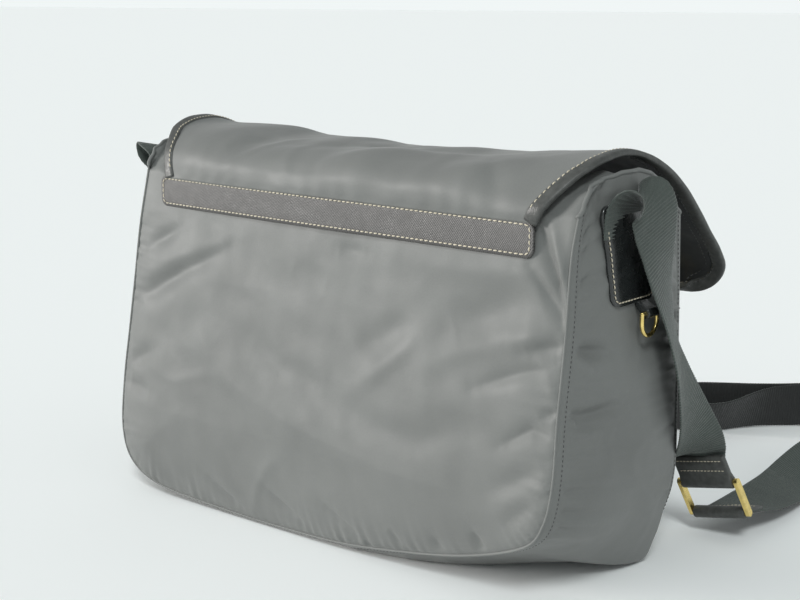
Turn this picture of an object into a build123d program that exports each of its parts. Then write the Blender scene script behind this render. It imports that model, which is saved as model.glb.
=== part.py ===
from build123d import *
import os
from math import cos, hypot, radians, sin, tan

os.makedirs("parts", exist_ok=True)

# Frame: millimetres, +Z up, the bag stands on z = 0, its front faces -Y, its back +Y, left is -X.

# Body
BASE_W = 396
TOP_W = 384
BACK_Y = 60
FRONT_Y = -62
MOUTH_Z = 238
FRONT_MOUTH_Z = 226
EAR_Z = 265
CORNER_R = 70
PANEL_T = 2.5
LINING_GAP = 0.3
LINING_T = 1.0
BOARD = (236, 98, 2.0)

# Front pocket
POCKET_W = 310
POCKET_Z = (12, 160)
POCKET_FRONT_Y = -108
POCKET_R = 45
POCKET_T = 2.0
BINDING_H = 8
BINDING_T = 3.6

# Leather strip on the back
STRIP_SIZE = (325, 2.4, 22)
STRIP_R = 7

# Flap: outer line in (y, z) from the hinge over the top to the front edge
FLAP_LINE = [(63.5, 241.5), (60, 268), (-8, 277.5), (-95, 240), (-132, 197), (-132, 171)]
FLAP_RADII = [26, 40, 45, 30]
FLAP_W = 374
FLAP_ROOT_W = 330
FLAP_CORNER_R = 28
FLAP_SHELL_T = 1.2
FLAP_LINING_T = 0.8
BIND_W = 10
BIND_PROUD = 0.9

# Flap zip
ZIP_Y = -48
ZIP_W = 300
ZIP_TAPE_W = 12
TEETH = (296, 4.6, 1.4)
SLIDER = (11, 8, 3.0)
PULLER = (26, 7, 1.2)
PULLER_PIN_R = 0.8
PULLER_DROOP = 8

# Closing straps, under the flap
CLOSE_X = 135
BUCKLE_BAR = (-121, 180)
BUCKLE = (40, 22, 3.0)
BAR_R = 1.5
RUNNING = 0.06
CLOSE_STRAP = (26, 68, 2.4)
CLOSE_LEAN = 4.5
CLOSE_TOP = 12
SNAP_Z = 135
SNAP_R = 8

# Side tabs, D-rings and strap anchors
WEB_W = 38
WEB_T = 1.8
TAB = (42, 60, 2.4)
TAB_TOP = 246.5
TAB_Y = 6
D_BAR = (-203, -2, 181)
D_W = 17
D_H = 14
D_WIRE = 1.3
FOLD = (-199.3, 8, 247)
FOLD_R = 7.5
LEG_L = 30

# Anchor webbing of the left side: (x, y, z) of its middle line and its twist from the Y axis in degrees
ANCHOR_PATH = [
    (-205.9, 8, 247, 0),
    (-207, -5, 219, -6),
    (-206, -16, 187, -14),
    (-205, -31, 155, -16),
    (-206.5, -54, 116, -3),
    (-205.5, -69, 99, 8),
    (-202, -85, 84, 28),
    (-196.5, -95, 74, 55),
]

# Strap rings
RING_CENTRE = (-191, -122, 31)
RING_TILT = 12
RING_LEAN = 24
RING_BARS = 26
RING_INNER = 40
RING_SIDE = (2.6, 5.2)
RING_BAR_R = 1.9
WRAP_R = 4.4
WRAP_L = 16
TAIL_L = 24

# Shoulder strap on the floor: its middle line in (x, y) from the left ring to the right ring
STRAP_ROUTE = [
    (-193.5, -136),
    (-197, -172),
    (-196, -214),
    (-188, -258),
    (-190, -312),
    (-209, -360),
    (-216, -412),
    (-196, -455),
    (-152, -461),
    (-118, -413),
    (-72, -350),
    (0, -300),
    (84, -262),
    (160, -216),
    (192, -172),
    (193.5, -136),
]
STRAP_Z = 3.5
LANE = 3.4
OVERLAP_CORNER = 8
OVERLAP_START = 0.4
GLIDE = (26, 44, 2.6)
GLIDE_PROUD = 1.6
ARC_SHARE = 0.45


def save(name, *solids):
    shape = solids[0] if len(solids) == 1 else Compound(children=list(solids))
    shape.label = name
    export_step(shape, f"parts/{name}.step")


def mirrored(shape):
    return mirror(shape, about=Plane.YZ)


def save_pair(name, shape):
    save(f"{name}_left", shape)
    save(f"{name}_right", mirrored(shape))


def along_y(face, low, high):
    """Extrude a face drawn in (x, z) from y = low to y = high."""
    plane = Plane(origin=(0, high, 0), x_dir=(1, 0, 0), z_dir=(0, -1, 0))
    return extrude(plane * face, amount=high - low)


def along_x(face, low, high):
    """Extrude a face drawn in (y, z) from x = low to x = high."""
    plane = Plane(origin=(low, 0, 0), x_dir=(0, 1, 0), z_dir=(1, 0, 0))
    return extrude(plane * face, amount=high - low)


def block(x, y, z):
    """A box from three (low, high) pairs."""
    size = [high - low for low, high in (x, y, z)]
    centre = [(high + low) / 2 for low, high in (x, y, z)]
    return Pos(*centre) * Box(*size)


def half_width(z):
    return (BASE_W - (BASE_W - TOP_W) * z / MOUTH_Z) / 2


def shifted(points, distance):
    """A polyline moved to its left by a distance, its corners mitred."""
    count = len(points)
    normals = []
    for (ax, ay), (bx, by) in zip(points, points[1:]):
        length = hypot(bx - ax, by - ay)
        normals.append((-(by - ay) / length, (bx - ax) / length))
    moved = []
    for i, (x, y) in enumerate(points):
        before = normals[max(i - 1, 0)]
        after = normals[min(i, count - 2)]
        scale = distance / (1 + before[0] * after[0] + before[1] * after[1])
        moved.append((x + scale * (before[0] + after[0]), y + scale * (before[1] + after[1])))
    return moved


def turn_sides(points):
    """+1 for each corner that turns left, -1 for each that turns right."""
    sides = []
    for (ax, ay), (bx, by), (cx, cy) in zip(points, points[1:], points[2:]):
        cross = (bx - ax) * (cy - by) - (by - ay) * (cx - bx)
        sides.append(1 if cross > 0 else -1)
    return sides


def shifted_line(points, radii, distance):
    sides = turn_sides(points)
    moved_radii = [r - side * distance for r, side in zip(radii, sides)]
    return FilletPolyline(*shifted(points, distance), radius=moved_radii)


def band_face(points, radii, near, far):
    """The face between two parallels of one rounded polyline."""
    first = shifted_line(points, radii, near)
    second = shifted_line(points, radii, far)
    caps = [Line(first @ 0, second @ 0), Line(first @ 1, second @ 1)]
    edges = list(first.edges()) + list(second.edges())
    for cap in caps:
        edges.extend(cap.edges())
    return make_face(edges)


def rounded_base(half_top, half_base, low, high, radius):
    """A trapezoid in (x, z) whose two lower corners are rounded."""
    points = [(-half_top, high), (-half_base, low), (half_base, low), (half_top, high)]
    face = make_face(Polyline(*points, close=True))
    return fillet(face.vertices().sort_by(Axis.Y)[:2], radius)


def body_face(inset, high):
    return rounded_base(half_width(high) - inset, half_width(0) - inset, inset, high, CORNER_R - inset)


def make_body():
    inside_front = FRONT_Y + PANEL_T
    inside_back = BACK_Y - PANEL_T
    save("back_panel", along_y(body_face(0, MOUTH_Z), inside_back, BACK_Y))
    save("front_panel", along_y(body_face(0, FRONT_MOUTH_Z), FRONT_Y, inside_front))
    band = along_y(body_face(0, EAR_Z), inside_front, inside_back)
    band -= along_y(body_face(PANEL_T, EAR_Z + 1), inside_front - 1, inside_back + 1)
    crown = Line((inside_front, 0), (inside_back, 0))
    crown += Line((inside_back, 0), (inside_back, MOUTH_Z))
    crown += ThreePointArc((inside_back, MOUTH_Z), (0, EAR_Z), (inside_front, FRONT_MOUTH_Z))
    crown += Line((inside_front, FRONT_MOUTH_Z), (inside_front, 0))
    band &= along_x(make_face(crown.edges()), -BASE_W, BASE_W)
    split_x = BASE_W / 2 - CORNER_R
    depth = (inside_front - 1, inside_back + 1)
    save("bottom_panel", band & block((-split_x, split_x), depth, (-1, PANEL_T + 1)))
    save("gusset_left", band & block((-BASE_W, -split_x), depth, (-1, EAR_Z + 1)))
    save("gusset_right", band & block((split_x, BASE_W), depth, (-1, EAR_Z + 1)))


def make_lining():
    outer = PANEL_T + LINING_GAP
    inner = outer + LINING_T
    shell = along_y(body_face(outer, FRONT_MOUTH_Z - 1), FRONT_Y + outer, BACK_Y - outer)
    shell -= along_y(body_face(inner, FRONT_MOUTH_Z + 1), FRONT_Y + inner, BACK_Y - inner)
    save("lining", shell)
    length, width, thick = BOARD
    board = Pos(0, (BACK_Y + FRONT_Y) / 2, inner + LINING_GAP + thick / 2) * Box(length, width, thick)
    save("base_board", fillet(board.edges().filter_by(Axis.Z), 20))


def make_pocket():
    low, high = POCKET_Z
    half = POCKET_W / 2
    outline = rounded_base(half, half, low, high, POCKET_R)
    hollow = rounded_base(half - POCKET_T, half - POCKET_T, low + POCKET_T, high + 1, POCKET_R - POCKET_T)
    panel_back = POCKET_FRONT_Y + POCKET_T
    save("pocket_panel", along_y(outline, POCKET_FRONT_Y, panel_back))
    gusset = along_y(outline, panel_back, FRONT_Y) - along_y(hollow, panel_back - 1, FRONT_Y + 1)
    save("pocket_gusset", gusset)
    middle = POCKET_FRONT_Y + POCKET_T / 2
    span = (middle - BINDING_T / 2, middle + BINDING_T / 2)
    binding = block((-half, half), span, (high, high + BINDING_H))
    save("pocket_binding", fillet(binding.edges().filter_by(Axis.X).sort_by(Axis.Z)[-2:], 1.5))


def make_back_strip():
    length, thick, height = STRIP_SIZE
    centre = (0, BACK_Y + thick / 2, MOUTH_Z - height / 2)
    strip = Pos(*centre) * Box(length, thick, height)
    save("back_strip", fillet(strip.edges().filter_by(Axis.Y), STRIP_R))


def flap_outline(inset):
    """A prism with the flap's plan and front outline, drawn in by inset along its free edges."""
    half = FLAP_W / 2 - inset
    root = FLAP_ROOT_W / 2 - inset
    right = [(root, 80), (root, 63), (half - 11, 52), (half - 3, 20), (half, -5), (half, -150)]
    left = [(-x, y) for x, y in reversed(right)]
    plan = extrude(make_face(Polyline(*right, *left, close=True)), amount=400)
    front_low = FLAP_LINE[-1][1] + inset
    return plan & along_y(rounded_base(half, half, front_low, 320, FLAP_CORNER_R - inset), -160, 90)


def flap_layer(near, far):
    return along_x(band_face(FLAP_LINE, FLAP_RADII, near, far), -FLAP_W / 2 - 1, FLAP_W / 2 + 1)


def zip_window(width):
    """The straight slot in the flap's outer layer, over the zip tape."""
    return block((-ZIP_W / 2, ZIP_W / 2), (ZIP_Y - width / 2, ZIP_Y + width / 2), (200, 300))


def flap_plane():
    """The plane of the flap's outer face at the zip: x across the bag, y up the slope towards the back."""
    (y1, z1), (y2, z2) = FLAP_LINE[2:4]
    slope = (z1 - z2) / (y1 - y2)
    height = z1 + (ZIP_Y - y1) * slope
    normal = Vector(0, -slope, 1).normalized()
    return Plane(origin=(0, ZIP_Y, height), x_dir=(1, 0, 0), z_dir=normal)


def make_flap():
    inner_outline = flap_outline(BIND_W)
    lining_depth = FLAP_SHELL_T + FLAP_LINING_T
    shell = flap_layer(0, FLAP_SHELL_T) & inner_outline
    save("flap_shell", shell - zip_window(ZIP_TAPE_W))
    save("flap_lining", flap_layer(FLAP_SHELL_T, lining_depth) & inner_outline)
    binding = flap_layer(-BIND_PROUD, lining_depth + BIND_PROUD) & flap_outline(0)
    save("flap_binding", binding - inner_outline)
    save("flap_zip_tape", flap_layer(0.3, FLAP_SHELL_T) & inner_outline & zip_window(ZIP_TAPE_W))


def make_zip():
    place = flap_plane()
    tape_top = -0.3
    length, width, height = TEETH
    save("flap_zip_teeth", place * Pos(0, 0, tape_top + height / 2) * Box(length, width, height))
    stops = []
    for side in (-1, 1):
        stops.append(place * Pos(side * (length / 2 + 0.9), 0, tape_top + 1.0) * Box(1.6, width + 1, 2.0))
    save("flap_zip_stops", *stops)

    s_length, s_width, s_height = SLIDER
    slider_x = length / 2 - s_length / 2 - 2
    floor = tape_top + height + 0.3
    pin_z = floor + s_height + 2.0
    deck = Pos(slider_x, 0, floor + s_height / 2) * Box(s_length, s_width, s_height)
    deck = fillet(deck.edges().filter_by(Axis.Z), 2.5)
    lugs = [
        Pos(slider_x - 1.5, side * 2.4, floor + s_height + 1.5) * Box(3.4, 1.2, 3.4)
        for side in (-1, 1)
    ]
    pin = Pos(slider_x - 1.5, 0, pin_z) * Rot(90, 0, 0) * Cylinder(PULLER_PIN_R, 6)
    save("flap_zip_slider", place * (deck + lugs[0] + lugs[1] + pin))

    p_length, p_width, p_thick = PULLER
    eye = Pos(slider_x - 1.5, 0, pin_z) * Rot(90, 0, 0) * Cylinder(1.7, 3.2)
    blade = Pos(slider_x - 1.5 - p_length / 2 - 2, 0, pin_z) * Box(p_length - 4, p_width, p_thick)
    blade = fillet(blade.edges().filter_by(Axis.Z), 2.5)
    neck = Pos(slider_x - 4.2, 0, pin_z) * Box(4.4, 3.2, p_thick)
    droop = Pos(slider_x - 1.5, 0, pin_z) * Rot(0, -PULLER_DROOP, 0) * Pos(1.5 - slider_x, 0, -pin_z)
    puller = droop * (eye + neck + blade)
    puller -= Pos(slider_x - 1.5, 0, pin_z) * Rot(90, 0, 0) * Cylinder(PULLER_PIN_R + RUNNING, 8)
    save("flap_zip_puller", place * puller)
    pin_point = place * Pos(slider_x - 1.5, 0, pin_z)
    print("puller pin", pin_point.position, "axis", place.y_dir)


def make_closing_strap():
    bar_y, bar_z = BUCKLE_BAR
    centre = (-CLOSE_X, bar_y, bar_z)
    lining_y = FLAP_LINE[-1][0] + FLAP_SHELL_T + FLAP_LINING_T
    width, height, wire = BUCKLE

    frame = Box(width, wire, height) - Box(width - 2 * wire, wire + 1, height - 2 * wire)
    frame = fillet(frame.edges().filter_by(Axis.Y), 1.2)
    frame += Rot(0, 90, 0) * Cylinder(BAR_R, width - wire)
    save_pair("buckle_frame", Pos(*centre) * frame)

    loops = []
    for side in (-1, 1):
        loop = Pos(side * 7.4, 0, 0) * Rot(0, 90, 0) * Cylinder(3.2, 10)
        plate = block((side * 7.4 - 5, side * 7.4 + 5), (lining_y - bar_y, 0), (1.2, 6))
        loop = loop + plate - Rot(0, 90, 0) * Cylinder(BAR_R + RUNNING, 60)
        loops.append(Pos(*centre) * loop)
    save("buckle_chape_left", *loops)
    save("buckle_chape_right", *[mirrored(loop) for loop in loops])

    ring = Rot(0, 90, 0) * Cylinder(3.0, 3.2)
    stub = block((-1.2, 1.2), (1.0, 9.4), (-1.0, 1.0))
    tongue = block((-1.2, 1.2), (8.0, 9.4), (-10.5, 1.0))
    prong = ring + stub + tongue - Rot(0, 90, 0) * Cylinder(BAR_R + RUNNING, 10)
    save_pair("buckle_prong", Pos(*centre) * prong)

    s_width, s_length, s_thick = CLOSE_STRAP
    tilt = Pos(-CLOSE_X, bar_y + 4.0, bar_z) * Rot(CLOSE_LEAN, 0, 0)
    strap = block((-s_width / 2, s_width / 2), (0, s_thick), (CLOSE_TOP - s_length, CLOSE_TOP))
    strap = fillet(strap.edges().filter_by(Axis.Y).sort_by(Axis.Z)[:2], 8)
    strap -= block((-1.7, 1.7), (-1, s_thick + 1), (-1.8, 9.2))
    socket_y = POCKET_FRONT_Y - 1.2
    snap_place = Pos(-CLOSE_X, 0, SNAP_Z) * Rot(90, 0, 0)
    stud = Pos(0, socket_y - 0.35 - 1.3, 0) * snap_place * Cylinder(SNAP_R - 1, 2.6)
    save_pair("snap_stud", stud)
    save_pair("closing_strap", tilt * strap - stud)

    outer = block((-s_width / 2 - 2.4, s_width / 2 + 2.4), (-1.8, s_thick + 1.8), (-26, -18))
    hole = block((-s_width / 2 - 0.2, s_width / 2 + 0.2), (-0.2, s_thick + 0.2), (-27, -17))
    save_pair("keeper", tilt * (outer - hole))

    socket = Pos(0, (POCKET_FRONT_Y + socket_y) / 2, 0) * snap_place * Cylinder(SNAP_R, 1.2)
    save_pair("snap_socket", socket)


def side_plane(z, y, proud):
    """A plane on the left gusset's outer face, x along Y, y up the face, z outwards."""
    lean = Vector(-(half_width(0) - half_width(MOUTH_Z)), 0, -MOUTH_Z).normalized()
    origin = Vector(-half_width(z), y, z)
    outward = Vector(lean.Z, 0, -lean.X)
    return Plane(origin=origin + outward * proud, x_dir=(0, -1, 0), z_dir=outward)


def make_tab():
    width, height, thick = TAB
    face_plane = side_plane(TAB_TOP, TAB_Y, WEB_T)
    points = [(-width / 2, 0), (-width / 2 + 3, -height), (width / 2 - 3, -height), (width / 2, 0)]
    face = make_face(Polyline(*points, close=True))
    face = fillet(face.vertices().sort_by(Axis.Y)[:2], 7)
    save_pair("strap_tab", extrude(face_plane * face, amount=thick))


def make_anchor():
    fx, fy, fz = FOLD
    ring = Pos(fx, fy, fz) * Rot(90, 0, 0) * (Cylinder(FOLD_R, WEB_W) - Cylinder(FOLD_R - WEB_T, WEB_W + 1))
    fold = ring & block((fx - 10, fx + 10), (fy - 30, fy + 30), (fz, fz + 10))
    leg_face = Pos(0, -LEG_L / 2) * Rectangle(WEB_W, LEG_L)
    leg = extrude(side_plane(fz, fy, 0) * leg_face, amount=WEB_T)
    sections = []
    for x, y, z, twist in ANCHOR_PATH:
        a = radians(twist)
        plane = Plane(origin=(x, y, z), x_dir=(-sin(a), -cos(a), 0), z_dir=(0, 0, -1))
        sections.append(plane * Rectangle(WEB_W, WEB_T))
    across, up = ring_axes()
    end = Vector(*RING_CENTRE) + up * (RING_BARS / 2 + WRAP_R + WRAP_L)
    sections.append(Plane(origin=end, x_dir=across, z_dir=-up) * Rectangle(WEB_W, WEB_T))
    drop = loft(sections, ruled=True)
    save_pair("anchor_webbing", fold + leg + drop)


def ring_axes():
    tilt, lean = radians(RING_TILT), radians(RING_LEAN)
    across = Vector(-cos(tilt), 0, sin(tilt))
    upright = Vector(sin(tilt), 0, cos(tilt))
    up = upright * cos(lean) + Vector(0, 1, 0) * sin(lean)
    return across, up


def ring_plane():
    across, up = ring_axes()
    return Plane(origin=RING_CENTRE, x_dir=across, z_dir=across.cross(up))


def make_ring():
    place = ring_plane()
    side_t, side_w = RING_SIDE
    height = RING_BARS + side_w
    ring = None
    for side in (-1, 1):
        plate = Pos(side * (RING_INNER + side_t) / 2, 0, 0) * Box(side_t, height, side_w)
        plate = fillet(plate.edges().filter_by(Axis.X), side_w / 2 - 0.1)
        bar = Pos(0, side * RING_BARS / 2, 0) * Rot(0, 90, 0) * Cylinder(RING_BAR_R, RING_INNER + side_t)
        ring = plate + bar if ring is None else ring + plate + bar
    save_pair("strap_ring", place * ring)

    bore = Rot(0, 90, 0) * Cylinder(RING_BAR_R + 0.2, WEB_W + 4)
    sleeve = Rot(0, 90, 0) * Cylinder(WRAP_R, WEB_W)
    flat = Pos(0, WRAP_R / 2 + WRAP_L / 2, 0) * Box(WEB_W, WRAP_L + WRAP_R, 4.4)
    wrap = Pos(0, RING_BARS / 2, 0) * (sleeve + flat - bore)
    save_pair("anchor_wrap", place * wrap)

    across, up = ring_axes()
    low_bar = Vector(*RING_CENTRE) - up * (RING_BARS / 2)
    tail_dir = Vector(0, -1, -0.12).normalized()
    tail_x = across - tail_dir * across.dot(tail_dir)
    tail_plane = Plane(origin=low_bar, x_dir=tail_x, z_dir=tail_x.cross(tail_dir))
    low_sleeve = Plane(origin=low_bar, x_dir=across, z_dir=across.cross(up)) * (sleeve - bore)
    tail = tail_plane * Pos(0, TAIL_L / 2 + RING_BAR_R, 0) * Box(WEB_W - 1, TAIL_L, 4.4)
    tail -= Plane(origin=low_bar, x_dir=across, z_dir=across.cross(up)) * bore
    end = low_sleeve + tail
    save("strap_end_wrap_left", end)
    save("strap_return_right", mirrored(end))


def d_ring():
    """A closed D of round wire: straight bar on top, round bow below."""
    run = D_W / 2
    drop = D_H - run
    solid = Rot(0, 90, 0) * Cylinder(D_WIRE, D_W)
    for side in (-1, 1):
        solid += Pos(side * run, -drop / 2, 0) * Rot(90, 0, 0) * Cylinder(D_WIRE, drop)
        solid += Pos(side * run, 0, 0) * Sphere(D_WIRE)
    bow = Pos(0, -drop, 0) * Torus(run, D_WIRE)
    bow &= Pos(0, -drop - D_W, 0) * Box(4 * D_W, 2 * D_W, 4 * D_W)
    return solid + bow


def make_d_ring():
    x, y, z = D_BAR
    save_pair("d_ring", Plane(origin=D_BAR, x_dir=(0, 1, 0), z_dir=(1, 0, 0)) * d_ring())
    sleeve = Rot(90, 0, 0) * Cylinder(3.4, 11)
    reach = block((0, -half_width(z) - x - 0.2), (-5.5, 5.5), (-2.6, 3.4))
    loop = sleeve + reach - Rot(90, 0, 0) * Cylinder(D_WIRE + RUNNING, 20)
    save_pair("d_ring_loop", Pos(x, y, z) * loop)


def arc_radii(route):
    """Each corner's radius: ARC_SHARE of the shorter run over the tangent of half the turn."""
    radii = []
    for a, b, c in zip(route, route[1:], route[2:]):
        first, second = Vector(*b) - Vector(*a), Vector(*c) - Vector(*b)
        half_turn = radians(first.get_angle(second)) / 2
        radii.append(ARC_SHARE * min(first.length, second.length) / tan(half_turn))
    return radii


def standing_ribbon(face):
    return extrude(Pos(0, 0, STRAP_Z) * face, amount=WEB_W)


def make_strap():
    radii = arc_radii(STRAP_ROUTE)
    middle = FilletPolyline(*STRAP_ROUTE, radius=radii)
    print("strap length", round(middle.length, 1), "radii", [round(r) for r in radii])
    ribbon = standing_ribbon(band_face(STRAP_ROUTE, radii, -WEB_T / 2, WEB_T / 2))
    print("ribbon volume", round(ribbon.volume), "section times length", round(WEB_W * WEB_T * middle.length))
    save("shoulder_strap", ribbon)

    (ax, ay), (bx, by) = STRAP_ROUTE[OVERLAP_CORNER:OVERLAP_CORNER + 2]
    start = (ax + (bx - ax) * OVERLAP_START, ay + (by - ay) * OVERLAP_START)
    doubled = [start] + STRAP_ROUTE[OVERLAP_CORNER + 1:]
    lane = band_face(doubled, radii[OVERLAP_CORNER:], LANE - WEB_T / 2, LANE + WEB_T / 2)
    save("strap_overlap", standing_ribbon(lane))

    length, height, thick = GLIDE
    run = Vector(bx - ax, by - ay, 0).normalized()
    side = Vector(-run.Y, run.X, 0)
    centre = Vector(*start, 0) - run * (length / 2 + 0.3) + side * (LANE + GLIDE_PROUD)
    place = Plane(origin=centre + Vector(0, 0, STRAP_Z + WEB_W / 2), x_dir=run, z_dir=side)
    glide = Box(length, height, thick)
    for x in (-1, 1):
        glide -= Pos(x * (length / 4 - 0.6), 0, 0) * Box(length / 2 - 5, height - 6, thick + 1)
    save("strap_glide", place * glide)


make_body()
make_lining()
make_pocket()
make_back_strip()
make_flap()
make_zip()
make_closing_strap()
make_tab()
make_anchor()
make_ring()
make_d_ring()
make_strap()
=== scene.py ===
import bpy
import numpy as np
from math import cos, pi, radians, sin
from mathutils import Matrix, Vector


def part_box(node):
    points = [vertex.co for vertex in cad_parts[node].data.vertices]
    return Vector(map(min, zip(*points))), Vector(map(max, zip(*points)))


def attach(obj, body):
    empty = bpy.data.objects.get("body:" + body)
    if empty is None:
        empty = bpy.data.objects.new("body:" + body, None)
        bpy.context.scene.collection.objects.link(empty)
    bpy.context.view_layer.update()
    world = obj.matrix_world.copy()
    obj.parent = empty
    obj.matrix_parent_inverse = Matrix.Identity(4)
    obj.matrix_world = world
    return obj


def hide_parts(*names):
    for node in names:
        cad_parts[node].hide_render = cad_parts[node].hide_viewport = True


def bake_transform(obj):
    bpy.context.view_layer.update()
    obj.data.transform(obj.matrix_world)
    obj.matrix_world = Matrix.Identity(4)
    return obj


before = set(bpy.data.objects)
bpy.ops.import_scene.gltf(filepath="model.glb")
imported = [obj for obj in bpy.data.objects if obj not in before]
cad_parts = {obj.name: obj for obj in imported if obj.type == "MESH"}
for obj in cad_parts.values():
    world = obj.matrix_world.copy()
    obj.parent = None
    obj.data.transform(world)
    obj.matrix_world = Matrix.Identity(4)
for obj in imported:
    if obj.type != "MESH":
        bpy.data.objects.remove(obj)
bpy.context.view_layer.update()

# Lengths in the shape tables and functions are millimetres in the CAD frame; pieces are made in metres.
MM = 0.001
X_AXIS, Y_AXIS, Z_AXIS = np.eye(3)

# Camera
CAMERA_AT = (-0.6098, 0.7125, 0.3552)
CAMERA_TURN = 220.0
CAMERA_DOWN = 11.74
CAMERA_ROLL = 0.465
CAMERA_LENS = 63
FLOOR_SIZE = 800.0

# Body: seams as (x, y, z), from the left top down, along the bottom and up to the right top
BACK_SEAM = [
    (-189, 57, 242), (-187, 60, 217), (-186, 62, 172), (-185, 66, 126), (-185, 69, 88),
    (-180, 70, 62), (-165, 67, 44), (-125, 62, 27), (-80, 61, 16), (-16, 61, 6),
    (46, 62, 3), (110, 65, 4), (162, 68, 8), (190, 70, 21), (198, 72, 46),
    (197, 70, 84), (193, 67, 122), (190, 63, 160), (187, 59, 200), (181, 55, 240),
]
FRONT_SEAM = [
    (-189, -58, 232), (-189, -62, 176), (-189, -66, 110), (-189, -67, 66), (-183, -67, 41),
    (-165, -65, 21), (-120, -62, 10), (-60, -61, 5), (30, -61, 4), (110, -61, 5),
    (165, -63, 10), (190, -65, 30), (196, -66, 66), (193, -65, 110), (188, -62, 170),
    (182, -58, 230),
]
# Rise of the gusset's rounded top above its seams, by y
EAR = [(57, 0), (48, 13), (38, 20), (20, 26), (2, 28), (-14, 26), (-27, 21), (-42, 12), (-58, 0)]
EAR_REACH = 75
SEAM_STEPS = 401
DEPTH_STEPS = 81
PANEL_STEPS = (250, 165)
FOLD_DEPTH = 1.3
GUSSET_FOLD_DEPTH = 2.2
SIDE_BULGE = 10
CORNER_BULGE = 14
SEWN_COLUMN = 5
# How far in from the back edge the bottom comes down to the floor, by x
UNDER_REACH = [
    (-190, 120), (-150, 110), (-130, 86), (-108, 56), (-88, 36), (-60, 20), (-20, 8), (77, 6), (190, 30),
]
DEPTH = 122
WALL = 1.2
LINING_INSET = 5.5
# Bulge of the panels by height
BELLY = [(0, 5), (25, 8), (70, 10), (120, 9), (170, 6), (215, 1.5), (250, 0.5)]
BACK_TOP_Y = 60.0
STRIP_CORNER = 6
TAB_CORNER = 7
D_BAR_HEIGHT = 181.0

# Folds as (points in (x, z), half width, height, sharpness); a negative height is a valley
BACK_FOLDS = [
    ([(128, 148), (104, 123), (68, 100), (15, 84), (-31, 75), (-72, 70), (-104, 68)], 15, 2.6, 1.6),
    ([(-105, 165), (-132, 179), (-172, 195)], 12, -2.6, 2),
    ([(-61, 208), (-96, 205), (-126, 205), (-154, 210)], 9, 1.6, 2),
    ([(-10, 204), (-34, 204)], 5, -1.3, 2),
    ([(29, 189), (-4, 180)], 9, -1.0, 2),
    ([(-144, 166), (-182, 173)], 7, 1.8, 2),
    ([(-160, 162), (-187, 169)], 5.5, -2.6, 1.6),
    ([(-126, 135), (-156, 148), (-183, 157)], 5, -2.0, 1.5),
    ([(-148, 104), (-168, 117), (-184, 115)], 4.5, -2.4, 1.4),
    ([(-173, 124), (-187, 132)], 4, -1.6, 1.5),
    ([(-142, 74), (-180, 97)], 7, -1.8, 1.8),
    ([(-150, 54), (-176, 76)], 6, -1.6, 1.8),
    ([(184, 146), (162, 157), (136, 172), (88, 195)], 8, -4.0, 1.7),
    ([(170, 168), (119, 186), (78, 205)], 9, 1.8, 2),
    ([(176, 184), (139, 203)], 6, -2.4, 1.7),
    ([(188, 98), (158, 113)], 7, -2.4, 1.8),
    ([(188, 84), (162, 80)], 6, -2.0, 1.8),
    ([(64, 135), (33, 120), (-12, 117)], 8, -1.2, 2),
    ([(-31, 139), (-51, 153), (-77, 172)], 9, -1.3, 2),
    ([(-31, 116), (-65, 144), (-84, 161)], 7, 1.2, 2),
    ([(-87, 139), (-112, 155), (-144, 163)], 8, 1.2, 2),
    ([(-31, 98), (-85, 95), (-128, 111)], 10, -1.2, 2),
    ([(48, 32), (20, 14)], 4, -1.8, 1.4),
    ([(-3, 34), (-31, 18)], 4, -1.6, 1.4),
    ([(110, 30), (78, 10)], 5, -1.8, 1.4),
    ([(-60, 30), (-70, 18)], 4, -1.4, 1.4),
    ([(-96, 34), (-100, 22)], 4, -1.6, 1.4),
    ([(-128, 46), (-134, 32)], 4, -2.2, 1.4),
    ([(-164, 234), (-179, 205), (-185, 178)], 3.6, -3.4, 1.5),
    ([(-160, 212), (-176, 192), (-185, 180)], 3.2, -2.6, 1.5),
    ([(-173, 236), (-182, 212), (-185, 192)], 3.6, 2.2, 1.6),
]
FRONT_FOLDS = [
    ([(-150, 200), (-60, 180), (30, 190)], 12, -1.5, 2),
    ([(60, 200), (150, 170)], 10, 1.5, 2),
    ([(-186, 140), (-160, 128)], 6, -2, 1.6),
    ([(186, 120), (160, 104)], 6, -2, 1.6),
    ([(-184, 90), (-160, 84)], 5, -1.6, 1.6),
]
# The same in (y, z), without the sharpness
GUSSET_FOLDS = [
    ([(64, 170), (46, 164), (24, 160)], 4.5, -2.6),
    ([(66, 160), (40, 152)], 6, 1.4),
    ([(68, 134), (50, 124), (11, 127)], 4.5, -2.4),
    ([(66, 120), (36, 112)], 6, 1.2),
    ([(21, 137), (-38, 151)], 12, 1.4),
    ([(41, 103), (-18, 109)], 14, -1.4),
    ([(58, 238), (40, 233)], 3, -2.6),
    ([(44, 250), (38, 226)], 4, -1.6),
    ([(30, 246), (36, 226)], 3.5, -1.4),
    ([(56, 222), (42, 220)], 4, -1.2),
]

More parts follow.
